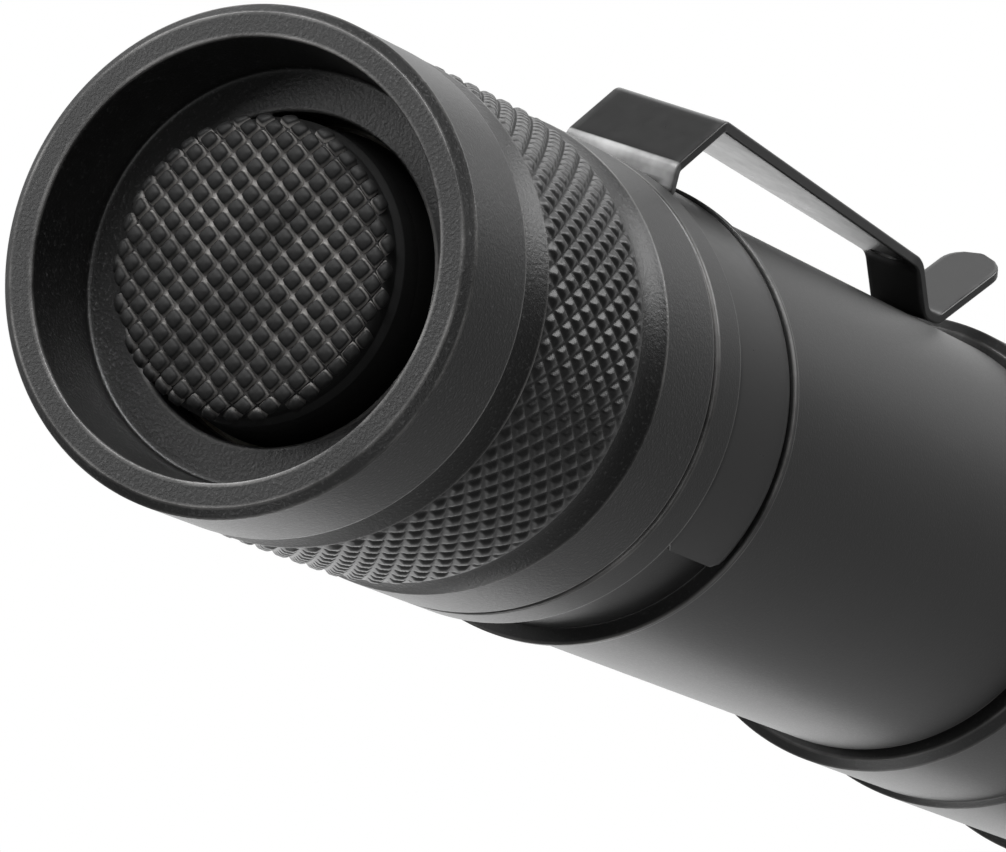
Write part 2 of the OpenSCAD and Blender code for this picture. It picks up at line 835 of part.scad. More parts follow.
// Bezel: a collar over the head's front, a lip over the glass and a scalloped rim
module bezel() {
    r = bezel_d / 2;
    edge = 0.6;
    flare = (r - window_d / 2) / 2;
    color(anodised)
        difference() {
            rotate_extrude()
                polygon([
                    [0, bezel_z0],
                    [r - edge, bezel_z0],
                    [r, bezel_z0 + edge],
                    [r, bezel_z1 - edge],
                    [r - edge, bezel_z1],
                    [0, bezel_z1]
                ]);
            disc(bezel_seat_r + seat, bezel_z0 - cut, bezel_lip_z0);
            disc(window_d / 2, bezel_z0, bezel_z1);
            rotate_extrude()
                polygon([
                    [0, bezel_lip_z0 + 1],
                    [window_d / 2, bezel_lip_z0 + 1],
                    [window_d / 2 + flare, bezel_z1 + seat],
                    [0, bezel_z1 + seat]
                ]);
            for (k = [0 : scallop_count - 1])
                rotate([0, 0, 360 * k / scallop_count])
                    translate([0, 0, bezel_z1 + scallop_r - scallop_depth])
                        rotate([0, 90, 0])
                            cylinder(r = scallop_r, h = bezel_d);
        }
}

tail_cap();
tail_knurl();
boot_flange();
boot_washer();
switch_housing();
switch_return_spring();
switch_retaining_ring();
tail_contact_plate();
tail_contact_spring();
switch_boot();
switch_plunger();
battery_tube();
rear_seal();
front_seal();
battery_can();
battery_button();
pocket_clip();
head_housing();
driver_retaining_ring();
driver_board();
driver_components();
head_contact_spring();
led_board();
led_emitter();
led_dome();
centring_ring();
reflector();
lens();
lens_seal();
bezel();
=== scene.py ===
import math

import bmesh
import bpy
from mathutils import Matrix, Vector


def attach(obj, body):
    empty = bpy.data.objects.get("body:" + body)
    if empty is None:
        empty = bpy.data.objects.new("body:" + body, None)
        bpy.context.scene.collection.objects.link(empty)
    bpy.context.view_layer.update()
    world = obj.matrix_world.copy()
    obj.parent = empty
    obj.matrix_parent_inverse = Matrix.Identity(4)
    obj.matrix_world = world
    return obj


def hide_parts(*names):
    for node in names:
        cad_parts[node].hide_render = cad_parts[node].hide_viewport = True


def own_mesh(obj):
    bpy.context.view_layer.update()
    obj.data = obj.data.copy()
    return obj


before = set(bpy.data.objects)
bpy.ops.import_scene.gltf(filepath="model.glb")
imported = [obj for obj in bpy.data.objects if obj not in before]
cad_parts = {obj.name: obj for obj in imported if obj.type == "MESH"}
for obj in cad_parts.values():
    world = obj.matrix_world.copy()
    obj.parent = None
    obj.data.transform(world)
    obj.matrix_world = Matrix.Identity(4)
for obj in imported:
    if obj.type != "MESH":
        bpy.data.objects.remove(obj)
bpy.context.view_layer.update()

mm = 0.001
seamGap = 1e-7  # points of a fine mesh that lie nearer than this are one
stageScene = bpy.context.scene
print("frame loaded:", len(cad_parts), "nodes")


# short ways to add nodes and link them
def feed(tree, socket, value):
    if isinstance(value, bpy.types.NodeSocket):
        tree.links.new(value, socket)
    else:
        socket.default_value = value


def put(tree, kind, options=None, values=None):
    made = tree.nodes.new(kind)
    for key, value in (options or {}).items():
        setattr(made, key, value)
    for key, value in (values or {}).items():
        feed(tree, made.inputs[key], value)
    return made


def calc(tree, operation, *values):
    made = put(tree, "ShaderNodeMath", {"operation": operation})
    for index, value in enumerate(values):
        feed(tree, made.inputs[index], value)
    return made.outputs[0]


def blendNumber(tree, share, low, high):
    made = put(tree, "ShaderNodeMapRange", {"clamp": True})
    for key, value in (("Value", share), ("To Min", low), ("To Max", high)):
        feed(tree, made.inputs[key], value)
    return made.outputs["Result"]


def blendColour(tree, share, low, high):
    made = put(tree, "ShaderNodeMix", {"data_type": "RGBA"})
    feed(tree, made.inputs["Factor"], share)
    for key, value in (("A", low), ("B", high)):
        socket = [s for s in made.inputs if s.name == key and s.type == "RGBA"][0]
        feed(tree, socket, value)
    return [s for s in made.outputs if s.type == "RGBA"][0]


def grey(level, warm=0.0):
    return (level * (1 + warm), level, level * (1 - warm), 1)


def noise(tree, place, scale, detail=2.0, rough=0.5):
    made = put(tree, "ShaderNodeTexNoise", None,
               {"Vector": place, "Scale": scale, "Detail": detail, "Roughness": rough})
    return made.outputs[0]


def ramp(tree, value, low, high):
    made = put(tree, "ShaderNodeMapRange", {"clamp": True},
               {"Value": value, "From Min": low, "From Max": high})
    return made.outputs["Result"]


def bump(tree, height, depth, strength=1.0, under=None):
    made = put(tree, "ShaderNodeBump", None,
               {"Height": height, "Distance": depth, "Strength": strength})
    if under is not None:
        feed(tree, made.inputs["Normal"], under)
    return made.outputs["Normal"]


def startMaterial(name):
    made = bpy.data.materials.new(name)
    made.use_nodes = True
    tree = made.node_tree
    shader = tree.nodes["Principled BSDF"]
    place = put(tree, "ShaderNodeTexCoord").outputs["Object"]
    return made, tree, shader, place


def attribute(tree, name):
    return put(tree, "ShaderNodeAttribute", {"attribute_name": name}).outputs["Fac"]


def latheCoords(tree, place):
    # distance from the light's axis and height along it: rings of a turned face
    split = put(tree, "ShaderNodeSeparateXYZ", None, {"Vector": place}).outputs
    flat = calc(tree, "SQRT", calc(tree, "ADD", calc(tree, "MULTIPLY", split[0], split[0]),
                                   calc(tree, "MULTIPLY", split[1], split[1])))
    return put(tree, "ShaderNodeCombineXYZ", None, {"X": flat, "Y": split[2]}).outputs[0]


# finishes: each reads Object coordinates, and wear or dust from the mesh; on the clip strap's foot
# the wear mark is a painted highlight
def spreadRough(tree, pattern, look):
    low, high = look["roughSpread"]
    return blendNumber(tree, pattern, look["rough"] + low, look["rough"] + high)


def anodisedFinish(name, look):
    made, tree, shader, place = startMaterial(name)
    grain = noise(tree, place, look["grainScale"], 2.5, 0.62)
    cloud = noise(tree, place, look["cloudScale"], 4.0, 0.6)
    lines = noise(tree, latheCoords(tree, place), look["lineScale"], 2.0, 0.5)
    wear = attribute(tree, "wear")
    rubbed = calc(tree, "MULTIPLY", wear, ramp(tree, cloud, *look["rubbedPatch"]))
    speck = ramp(tree, grain, *look["speckPatch"])
    colour = blendColour(tree, ramp(tree, cloud, *look["cloudPatch"]),
                         grey(look["dark"]), grey(look["light"]))
    colour = blendColour(tree, calc(tree, "MULTIPLY", speck, look["speckShare"]),
                         colour, grey(look["speckLevel"]))
    colour = blendColour(tree, calc(tree, "MULTIPLY", rubbed, look["wearAndSheenShare"]),
                         colour, grey(look["wearAndSheenLevel"], look["wearWarmth"]))
    feed(tree, shader.inputs["Base Color"], colour)
    rough = spreadRough(tree, grain, look)
    rough = calc(tree, "SUBTRACT", rough, calc(tree, "MULTIPLY", rubbed, look["wearPolish"]))
    feed(tree, shader.inputs["Roughness"], rough)
    shader.inputs["Specular IOR Level"].default_value = look["specular"]
    turned = bump(tree, lines, look["lineDepth"] * mm, look["lineStrength"])
    feed(tree, shader.inputs["Normal"],
         bump(tree, grain, look["grainDepth"] * mm, look["grainStrength"], turned))
    return made


blasted = {
    "grainScale": 5600, "cloudScale": 160, "lineScale": 5200,
    "dark": 0.008, "light": 0.012, "cloudPatch": (0.3, 0.7),
    "rough": 0.38, "roughSpread": (-0.07, 0.07), "specular": 0.75,
    "speckPatch": (0.58, 0.74), "speckShare": 0.7, "speckLevel": 0.1,
    "rubbedPatch": (0.34, 0.68), "wearAndSheenShare": 0.9, "wearAndSheenLevel": 0.26,
    "wearWarmth": 0.02, "wearPolish": 0.08,
    "lineDepth": 0.0008, "lineStrength": 0.5,
    "grainDepth": 0.03, "grainStrength": 0.8,
}
anodisedBlack = anodisedFinish("anodisedBlack", blasted)
anodisedSmooth = anodisedFinish("anodisedSmooth", dict(
    blasted, grainScale=6800, grainDepth=0.014, speckShare=0.35, rough=0.37))
knurlBlack = anodisedFinish("knurlBlack", dict(
    blasted, rough=0.36, grainDepth=0.006, speckShare=0.25, wearAndSheenShare=0.35, wearAndSheenLevel=0.1))


def rubberFinish(name, look):
    made, tree, shader, place = startMaterial(name)
    skin = noise(tree, place, look["skinScale"], 3.0, 0.6)
    cloud = noise(tree, place, look["cloudScale"], 3.0, 0.6)
    dust = calc(tree, "MULTIPLY", attribute(tree, "groove"), ramp(tree, cloud, *look["dustPatch"]))
    lint = ramp(tree, noise(tree, place, look["lintScale"], 4.0, 0.75), *look["lintPatch"])
    colour = blendColour(tree, skin, grey(look["dark"]), grey(look["light"]))
    colour = blendColour(tree, calc(tree, "MULTIPLY", dust, look["dustShare"]),
                         colour, grey(look["dustLevel"], look["dustWarmth"]))
    colour = blendColour(tree, calc(tree, "MULTIPLY", lint, look["lintShare"]),
                         colour, grey(look["lintLevel"], look["dustWarmth"]))
    feed(tree, shader.inputs["Base Color"], colour)
    feed(tree, shader.inputs["Roughness"], spreadRough(tree, skin, look))
    shader.inputs["Specular IOR Level"].default_value = look["specular"]
    feed(tree, shader.inputs["Normal"],
         bump(tree, skin, look["skinDepth"] * mm, look["skinStrength"]))
    return made


rubber = {
    "skinScale": 5200, "dark": 0.008, "light": 0.013, "specular": 0.3,
    "rough": 0.58, "roughSpread": (-0.06, 0.08), "skinDepth": 0.01, "skinStrength": 0.4,
    "cloudScale": 240, "dustPatch": (0.25, 0.62), "dustShare": 0.95, "dustLevel": 0.42,
    "dustWarmth": 0.03,
    "lintScale": 1500, "lintPatch": (0.70, 0.78), "lintShare": 0.35, "lintLevel": 0.11,
}
bootRubber = rubberFinish("bootRubber", rubber)
sealBlack = rubberFinish("sealBlack", dict(
    rubber, skinScale=4200, dark=0.012, light=0.02, rough=0.42, specular=0.45, dustShare=0.0,
    dustLevel=0.1))


def steelFinish(name, look):
    made, tree, shader, place = startMaterial(name)
    cloud = noise(tree, place, look["cloudScale"], 4.0, 0.6)
    stretch = put(tree, "ShaderNodeMapping", None, {"Vector": place, "Scale": look["drag"]})
    drawn = noise(tree, stretch.outputs[0], 1.0, 3.0, 0.6)
    # the wear mark also carries a painted highlight: the strap's foot is marked whole and painted
    # bright
    wear = calc(tree, "MULTIPLY", attribute(tree, "wear"), ramp(tree, cloud, *look["wearAndSheenPatch"]))
    colour = blendColour(tree, drawn, grey(look["dark"]), grey(look["light"]))
    colour = blendColour(tree, calc(tree, "MULTIPLY", wear, look["wearAndSheenShare"]),
                         colour, grey(look["wearAndSheenLevel"]))
    feed(tree, shader.inputs["Base Color"], colour)
    feed(tree, shader.inputs["Roughness"],
         calc(tree, "ADD", spreadRough(tree, drawn, look),
              blendNumber(tree, cloud, *look["roughCloud"])))
    shader.inputs["Metallic"].default_value = look["metal"]
    shader.inputs["Specular IOR Level"].default_value = look["specular"]
    feed(tree, shader.inputs["Normal"],
         bump(tree, drawn, look["drawnDepth"] * mm, look["drawnStrength"]))
    return made


blackSheet = {
    "drag": (1900, 1900, 700), "dark": 0.016, "light": 0.021, "metal": 0.0, "specular": 0.65,
    "rough": 0.3, "roughSpread": (-0.05, 0.05), "roughCloud": (-0.03, 0.03),
    # the wear level also colours the painted highlight on the strap's foot
    "cloudScale": 210, "wearAndSheenPatch": (0.35, 0.65), "wearAndSheenShare": 0.9, "wearAndSheenLevel": 0.55,
    "drawnDepth": 0.004, "drawnStrength": 0.4,
}
clipBlack = steelFinish("clipBlack", blackSheet)
bareMetal = dict(blackSheet, metal=1.0, specular=0.5, wearAndSheenShare=0.0, wearAndSheenLevel=0.5)
brassTurned = steelFinish("brassTurned", dict(
    bareMetal, drag=(500, 500, 9000), dark=0.4, light=0.5))
nickelBright = steelFinish("nickelBright", dict(
    bareMetal, drag=(3000, 3000, 3000), dark=0.55, light=0.68, rough=0.22))


def tint(made, low, high):
    # recolours a grey finish, keeping its nodes
    for node in made.node_tree.nodes:
        if node.type == "MIX":
            sockets = [s for s in node.inputs if s.type == "RGBA" and not s.is_linked]
            if len(sockets) == 2:
                sockets[0].default_value = (*low, 1)
                sockets[1].default_value = (*high, 1)
    return made


tint(brassTurned, (0.50, 0.33, 0.12), (0.62, 0.43, 0.18))


moulded = {"fineness": 6, "roughSpread": (-0.06, 0.06), "strength": 0.4}


def mouldedFinish(name, low, high, rough, scale=900, depth=0.01):
    made, tree, shader, place = startMaterial(name)
    cloud = noise(tree, place, scale, 4.0, 0.6)
    fine = noise(tree, place, scale * moulded["fineness"], 2.0, 0.5)
    feed(tree, shader.inputs["Base Color"], blendColour(tree, cloud, (*low, 1), (*high, 1)))
    feed(tree, shader.inputs["Roughness"], spreadRough(tree, fine, dict(moulded, rough=rough)))
    feed(tree, shader.inputs["Normal"], bump(tree, fine, depth * mm, moulded["strength"]))
    return made


nylonPale = mouldedFinish("nylonPale", (0.62, 0.60, 0.53), (0.72, 0.70, 0.63), 0.5)
sealRed = mouldedFinish("sealRed", (0.28, 0.045, 0.03), (0.36, 0.07, 0.045), 0.35)
cellWrap = mouldedFinish("cellWrap", (0.03, 0.10, 0.22), (0.045, 0.13, 0.27), 0.28, 300, 0.006)
boardGreen = mouldedFinish("boardGreen", (0.02, 0.085, 0.04), (0.03, 0.12, 0.06), 0.35, 1500)
chipBlack = mouldedFinish("chipBlack", (0.02, 0.02, 0.022), (0.035, 0.035, 0.037), 0.5, 1500)
maskWhite = mouldedFinish("maskWhite", (0.74, 0.74, 0.71), (0.82, 0.82, 0.79), 0.35, 1200)


def phosphorFinish():
    made, tree, shader, place = startMaterial("phosphorGel")
    cloud = noise(tree, place, 2600, 3.0, 0.6)
    feed(tree, shader.inputs["Base Color"],
         blendColour(tree, cloud, (0.78, 0.62, 0.12, 1), (0.88, 0.74, 0.2, 1)))
    feed(tree, shader.inputs["Roughness"], blendNumber(tree, cloud, 0.08, 0.2))
    shader.inputs["Coat Weight"].default_value = 0.6
    return made


def mirrorFinish():
    made, tree, shader, place = startMaterial("mirrorBowl")
    peel = noise(tree, place, 900, 2.0, 0.5)
    feed(tree, shader.inputs["Base Color"], blendColour(tree, peel, grey(0.83), grey(0.9)))
    shader.inputs["Metallic"].default_value = 1.0
    feed(tree, shader.inputs["Roughness"], blendNumber(tree, peel, 0.04, 0.09))
    feed(tree, shader.inputs["Normal"], bump(tree, peel, 0.02 * mm, 0.12))
    return made


def glassFinish():
    made, tree, shader, place = startMaterial("lensGlass")
    smear = noise(tree, place, 120, 4.0, 0.65)
    feed(tree, shader.inputs["Base Color"],
         blendColour(tree, smear, (0.93, 0.97, 0.98, 1), (0.97, 0.99, 1.0, 1)))
    feed(tree, shader.inputs["Roughness"], blendNumber(tree, smear, 0.0, 0.04))
    shader.inputs["Transmission Weight"].default_value = 1.0
    shader.inputs["IOR"].default_value = 1.46
    return made


phosphorGel = phosphorFinish()
mirrorBowl = mirrorFinish()
lensGlass = glassFinish()
print("finishes made")


# meshes: turned outlines, plain copies and Geometry Nodes trees
def addPiece(mesh, name, body, slotName, material, *replaced):
    piece = bpy.data.objects.new(name, mesh)
    stageScene.collection.objects.link(piece)
    mesh.materials.clear()
    mesh.materials.append(material)
    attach(piece, body)
    if replaced:
        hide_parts(*replaced)
    return piece


def meshOf(work, name):
    mesh = bpy.data.meshes.new(name)
    work.to_mesh(mesh)
    work.free()
    return mesh


def closeMesh(mesh, mergeAt=1e-6):
    work = bmesh.new()
    work.from_mesh(mesh)
    bmesh.ops.remove_doubles(work, verts=work.verts, dist=mergeAt)
    bmesh.ops.recalc_face_normals(work, faces=work.faces)
    for face in work.faces:
        face.smooth = True
    work.to_mesh(mesh)
    work.free()
    return mesh


fillets = {"longest": 0.42, "support": 0.12, "supportShare": 0.3}  # shares of a side; mm


def roundedOutline(points, closed, steps=4):
    # each point is (radius, height, fillet) in mm; gives (radius, height, wear)
    area = sum(a[0] * b[1] - b[0] * a[1] for a, b in zip(points, points[1:] + points[:1]))
    result = []
    count = len(points)
    for index, (r, z, fillet) in enumerate(points):
        here = Vector((r, z))
        ends = not closed and index in (0, count - 1)
        if fillet <= 0 or ends:
            result.append((r, z, 0.0))
            continue
        back = Vector(points[index - 1][:2]) - here
        ahead = Vector(points[(index + 1) % count][:2]) - here
        half = back.angle(ahead) / 2
        shorter = min(back.length, ahead.length)
        reach = min(fillet / math.tan(half), fillets["longest"] * shorter)
        turn = back.x * ahead.y - back.y * ahead.x
        wear = 1.0 if turn * area < 0 else 0.0
        backDir, aheadDir = back.normalized(), ahead.normalized()
        support = min(fillets["support"], fillets["supportShare"] * shorter)
        first = here + backDir * reach
        last = here + aheadDir * reach
        result.append((*(first + backDir * support), 0.0))
        for step in range(steps + 1):
            share = step / steps
            spot = (1 - share) ** 2 * first + 2 * share * (1 - share) * here + share ** 2 * last
            result.append((*spot, wear))
        result.append((*(last + aheadDir * support), 0.0))
    return result


def turnedMesh(name, points, closed=True, around=256, shift=None):
    outline = roundedOutline(points, closed)
    work = bmesh.new()
    wearAndSheenLayer = work.verts.layers.float.new("wear")
    rings = []
    for step in range(around):
        angle = 2 * math.pi * step / around
        line = []
        for r, z, wear in outline:
            if r < 1e-6 and step > 0:
                line.append(rings[0][len(line)])
                continue
            height = shift(r, z, angle) if shift else z
            spot = Vector((r * math.cos(angle), r * math.sin(angle), height)) * mm
            vert = work.verts.new(spot)
            vert[wearAndSheenLayer] = wear
            line.append(vert)
        rings.append(line)
    last = len(outline) if closed else len(outline) - 1
    for step in range(around):
        one, two = rings[step], rings[(step + 1) % around]
        for k in range(last):
            n = (k + 1) % len(outline)
            corners = []
            for vert in (one[k], two[k], two[n], one[n]):
                if vert not in corners:
                    corners.append(vert)
            if len(corners) > 2:
                work.faces.new(corners)
    return closeMesh(meshOf(work, name))


def asPlainMesh(maker, name):
    # takes the maker object's evaluated shape as a mesh of its own
    stageScene.collection.objects.link(maker)
    bpy.context.view_layer.update()
    depsgraph = bpy.context.evaluated_depsgraph_get()
    mesh = bpy.data.meshes.new_from_object(maker.evaluated_get(depsgraph))
    mesh.name = name
    maker.modifiers.clear()
    bpy.data.objects.remove(maker)
    return mesh


def runTree(tree, settings, name):
    maker = bpy.data.objects.new(name + "Maker", bpy.data.meshes.new(name + "Base"))
    modifier = maker.modifiers.new("build", "NODES")
    modifier.node_group = tree
    for item in tree.interface.items_tree:
        if item.item_type == "SOCKET" and item.in_out == "INPUT" and item.name in settings:
            modifier[item.identifier] = settings[item.name]
    return asPlainMesh(maker, name)


def startTree(name, inputs):
    tree = bpy.data.node_groups.new(name, "GeometryNodeTree")
    for label, kind in inputs.items():
        tree.interface.new_socket(name=label, in_out="INPUT", socket_type="NodeSocket" + kind)
    tree.interface.new_socket(name="Geometry", in_out="OUTPUT", socket_type="NodeSocketGeometry")
    given = tree.nodes.new("NodeGroupInput").outputs
    return tree, given, tree.nodes.new("NodeGroupOutput").inputs[0]


def endTree(tree, shape, material, outlet):
    real = put(tree, "GeometryNodeRealizeInstances", None, {"Geometry": shape}).outputs[0]
    smooth = put(tree, "GeometryNodeSetShadeSmooth", None, {"Geometry": real}).outputs[0]
    done = put(tree, "GeometryNodeSetMaterial", None, {"Geometry": smooth, "Material": material})
    tree.links.new(done.outputs[0], outlet)


def keepNumber(tree, shape, name, value):
    made = put(tree, "GeometryNodeStoreNamedAttribute", {"data_type": "FLOAT", "domain": "POINT"},
               {"Geometry": shape, "Name": name})
    feed(tree, [s for s in made.inputs if s.name == "Value" and s.enabled][0], value)
    return made.outputs[0]


# tail cap, in mm along the light from its tail
tailCap = {
    "radius": 12.5, "bevel": 0.5, "ringEnd": 6.2, "grooveRadius": 11.95, "grooveEnd": 6.8,
    "knurlStart": 8.9, "knurlEnd": 20.4, "coreRadius": 11.7, "frontGrooveEnd": 22.0,
    "bandStart": 23.2, "bandRadius": 12.45, "end": 29.2,
    "mouth": 10.8, "floor": 10.35, "depth": 4.95, "hole": 8.2, "shelfEnd": 6.45,
    "bay": 10.2, "threadStart": 20.3, "thread": 10.7, "bandBevel": 0.25, "sharp": 0.05,
}


def tailCapOutline(s):
    # each corner: radius, height, fillet
    r, b, sharp = s["radius"], s["bevel"], s["sharp"]
    return [
        (s["mouth"], 0, 0.12), (r - b, 0, 0.07), (r, b, 0.09), (r, s["ringEnd"], 0.12),
        (s["grooveRadius"], s["ringEnd"], sharp), (s["grooveRadius"], s["grooveEnd"], 0),
        (r - 0.02, s["knurlStart"] - 0.02, 0.08), (s["coreRadius"], s["knurlStart"], sharp),
        (s["coreRadius"], s["knurlEnd"], sharp), (s["grooveRadius"], s["knurlEnd"], sharp),
        (s["grooveRadius"], s["frontGrooveEnd"], 0), (s["bandRadius"], s["bandStart"], 0.1),
        (s["bandRadius"], s["end"] - s["bandBevel"], 0.1),
        (s["bandRadius"] - s["bandBevel"], s["end"], 0.08),
        (s["thread"], s["end"], 0.15), (s["thread"], s["threadStart"], sharp),
        (s["bay"], s["threadStart"], sharp), (s["bay"], s["shelfEnd"], sharp),
        (s["hole"], s["shelfEnd"], sharp), (s["hole"], s["depth"], 0.15),
        (s["floor"], s["depth"], 0.25),
    ]


addPiece(turnedMesh("tailCapShell", tailCapOutline(tailCap)), "tailCapShell",
         "tail_end", "anodised", anodisedBlack, "tail_cap")

# Flat is the share of a diamond worn off, End Slope bevels the first and last rows
knurl = {
    "Tip Radius": 12.52 * mm, "Depth": 0.22 * mm, "Core Radius": 11.72 * mm,
    "Start": 8.9 * mm, "Length": 11.5 * mm, "Count": 66, "Rows": 6, "Steps": 12,
    "Flat": 0.34, "End Slope": 2.2, "Crest": 0.93, "Softness": 0.3, "Material": knurlBlack,
}


def knurlTree():
    tree, given, outlet = startTree("knurlSleeve", {
        "Tip Radius": "Float", "Depth": "Float", "Core Radius": "Float", "Start": "Float",
        "Length": "Float", "Count": "Int", "Rows": "Int", "Steps": "Int", "Flat": "Float",
        "End Slope": "Float", "Crest": "Float", "Softness": "Float", "Material": "Material"})
    down = calc(tree, "MULTIPLY", given["Rows"], given["Steps"])
    # four more rows of points close the sleeve: two at its ends, two along its bore
    total = calc(tree, "ADD", down, 4.0)
    across = calc(tree, "MULTIPLY_ADD", given["Count"], given["Steps"], 1.0)
    grid = put(tree, "GeometryNodeMeshGrid", None, {
        "Size X": 1.0, "Size Y": 1.0, "Vertices X": across, "Vertices Y": total}).outputs["Mesh"]
    place = put(tree, "GeometryNodeInputPosition").outputs[0]
    split = put(tree, "ShaderNodeSeparateXYZ", None, {"Vector": place}).outputs
    u = calc(tree, "ADD", split[0], 0.5)
    row = calc(tree, "ROUND", calc(tree, "MULTIPLY", calc(tree, "ADD", split[1], 0.5),
                                   calc(tree, "SUBTRACT", total, 1.0)))
    v = calc(tree, "DIVIDE", calc(tree, "SUBTRACT", row, 1.0), down)
    v = calc(tree, "MINIMUM", calc(tree, "MAXIMUM", v, 0.0), 1.0)
    lastRow = calc(tree, "GREATER_THAN", row, calc(tree, "ADD", down, 2.5))
    v = calc(tree, "MULTIPLY", v, calc(tree, "SUBTRACT", 1.0, lastRow))
    inner = calc(tree, "MAXIMUM", calc(tree, "LESS_THAN", row, 0.5),
                 calc(tree, "GREATER_THAN", row, calc(tree, "ADD", down, 1.5)))
    about = calc(tree, "MULTIPLY", given["Count"], u)
    along = calc(tree, "MULTIPLY", given["Rows"], v)
    heights = []
    for way in ("ADD", "SUBTRACT"):
        phase = calc(tree, way, about, along)
        off = calc(tree, "ABSOLUTE", calc(tree, "SUBTRACT", phase, calc(tree, "ROUND", phase)))
        heights.append(calc(tree, "SUBTRACT", 1.0, calc(tree, "MULTIPLY", off, 2.0)))
    height = calc(tree, "MINIMUM", *heights)
    height = calc(tree, "DIVIDE", height, calc(tree, "SUBTRACT", 1.0, given["Flat"]))
    height = calc(tree, "MINIMUM", height, 1.0)
    ends = calc(tree, "MINIMUM", v, calc(tree, "SUBTRACT", 1.0, v))
    ends = calc(tree, "MULTIPLY", calc(tree, "MULTIPLY", ends, given["Rows"]), given["End Slope"])
    height = calc(tree, "MULTIPLY", height, calc(tree, "MINIMUM", ends, 1.0))
    height = calc(tree, "SMOOTH_MIN", height, given["Crest"], given["Softness"])
    root = calc(tree, "SUBTRACT", given["Tip Radius"], given["Depth"])
    outer = calc(tree, "MULTIPLY_ADD", given["Depth"], height, root)
    radius = calc(tree, "ADD", calc(tree, "MULTIPLY", inner, given["Core Radius"]),
                  calc(tree, "MULTIPLY", calc(tree, "SUBTRACT", 1.0, inner), outer))
    angle = calc(tree, "MULTIPLY", u, 2 * math.pi)
    z = calc(tree, "MULTIPLY_ADD", given["Length"], v, given["Start"])
    spot = put(tree, "ShaderNodeCombineXYZ", None, {
        "X": calc(tree, "MULTIPLY", radius, calc(tree, "COSINE", angle)),
        "Y": calc(tree, "MULTIPLY", radius, calc(tree, "SINE", angle)), "Z": z}).outputs[0]
    marked = keepNumber(tree, grid, "wear", calc(tree, "POWER", height, 4.0))
    moved = put(tree, "GeometryNodeSetPosition", None, {"Geometry": marked, "Position": spot})
    merged = put(tree, "GeometryNodeMergeByDistance", None,
                 {"Geometry": moved.outputs[0], "Distance": seamGap})
    endTree(tree, merged.outputs[0], given["Material"], outlet)
    return tree


knurlMesh = closeMesh(runTree(knurlTree(), knurl, "knurlSleeve"), seamGap)
addPiece(knurlMesh, "knurlSleeve", "tail_end", "anodised", knurlBlack, "tail_knurl")
print("tail cap made")


# rubber boot with its pad of square bumps
boot = {
    "radius": 7.6, "top": 1.1, "crown": 0.5, "flatTo": 6.55, "edge": 1.05,
    "wall": 1.2, "draft": 0.06, "flareStart": 4.6, "foot": 7.9, "footZ": 7.5, "cavityZ": 2.8,
    "pitch": 0.96, "turn": 30.0, "shift": (-0.078, -0.126, 0.0), "limit": 7.7,
    "bumpHeight": 0.36, "bumpSides": 16, "squareness": 6,
    # a bump from its foot up: half its width, how far it lies inside the pad's skin, dust
    "bumpLevels": [(0.474, 0.05, 1.0), (0.437, -0.08, 0.8), (0.38, -0.26, 0.0),
                   (0.295, -0.345, 0.0)],
    # dust lies between the bumps out to this radius, nearer the tail than this height
    "dustTo": 6.85, "dustBelow": 2.4,
}
boot["domeRadius"] = (boot["radius"] ** 2 + boot["crown"] ** 2) / (2 * boot["crown"])


def domeDrop(r):
    big = boot["domeRadius"]
    return big - math.sqrt(big * big - r * r)


def wrapped(s, r, under):
    # a point of the pad: r along its skin from the middle, under = depth below the bumps' tops
    if r <= s["flatTo"]:
        return r, s["top"] + domeDrop(r) + under
    turn = min((r - s["flatTo"]) / s["edge"], math.pi / 2)
    reach = s["edge"] - under
    return (s["flatTo"] + reach * math.sin(turn),
            s["top"] + domeDrop(s["flatTo"]) + s["edge"] - reach * math.cos(turn))


def bootBody(s, steps=22):
    last = s["flatTo"] + s["edge"] * math.pi / 2
    skin = [wrapped(s, last * k / steps, s["bumpHeight"]) for k in range(steps + 1)]
    side, inside, shoulder = s["radius"] - s["draft"], s["radius"] - s["wall"], skin[-1][1]
    points = [(r, z, 0) for r, z in skin]
    points += [(skin[-1][0], shoulder + 0.25, 0.1), (side, shoulder + 0.6, 0.12),
               (side, s["flareStart"], 0.6), (s["foot"], s["footZ"], 0.1),
               (inside, s["footZ"], 0.1), (inside, s["cavityZ"], 0.3), (0, s["cavityZ"], 0)]
    mesh = turnedMesh("bootBody", points, closed=False, around=192)
    groove = mesh.attributes.new("groove", "FLOAT", "POINT")
    for index, vert in enumerate(mesh.vertices):
        flat = math.hypot(vert.co.x, vert.co.y) / mm
        shown = flat < s["dustTo"] and vert.co.z < s["dustBelow"] * mm
        groove.data[index].value = max(0.0, 1.0 - (flat / s["flatTo"]) ** 4) if shown else 0.0
    return mesh


def wrapBumps(s, mesh):
    # bends the outer bumps over the pad's round edge
    for vert in mesh.vertices:
        flat = math.hypot(vert.co.x, vert.co.y)
        if flat < 1e-6:
            continue
        under = vert.co.z / mm - s["top"] - domeDrop(flat / mm)
        r, z = wrapped(s, flat / mm, under)
        vert.co = (vert.co.x * r * mm / flat, vert.co.y * r * mm / flat, z * mm)
    return mesh


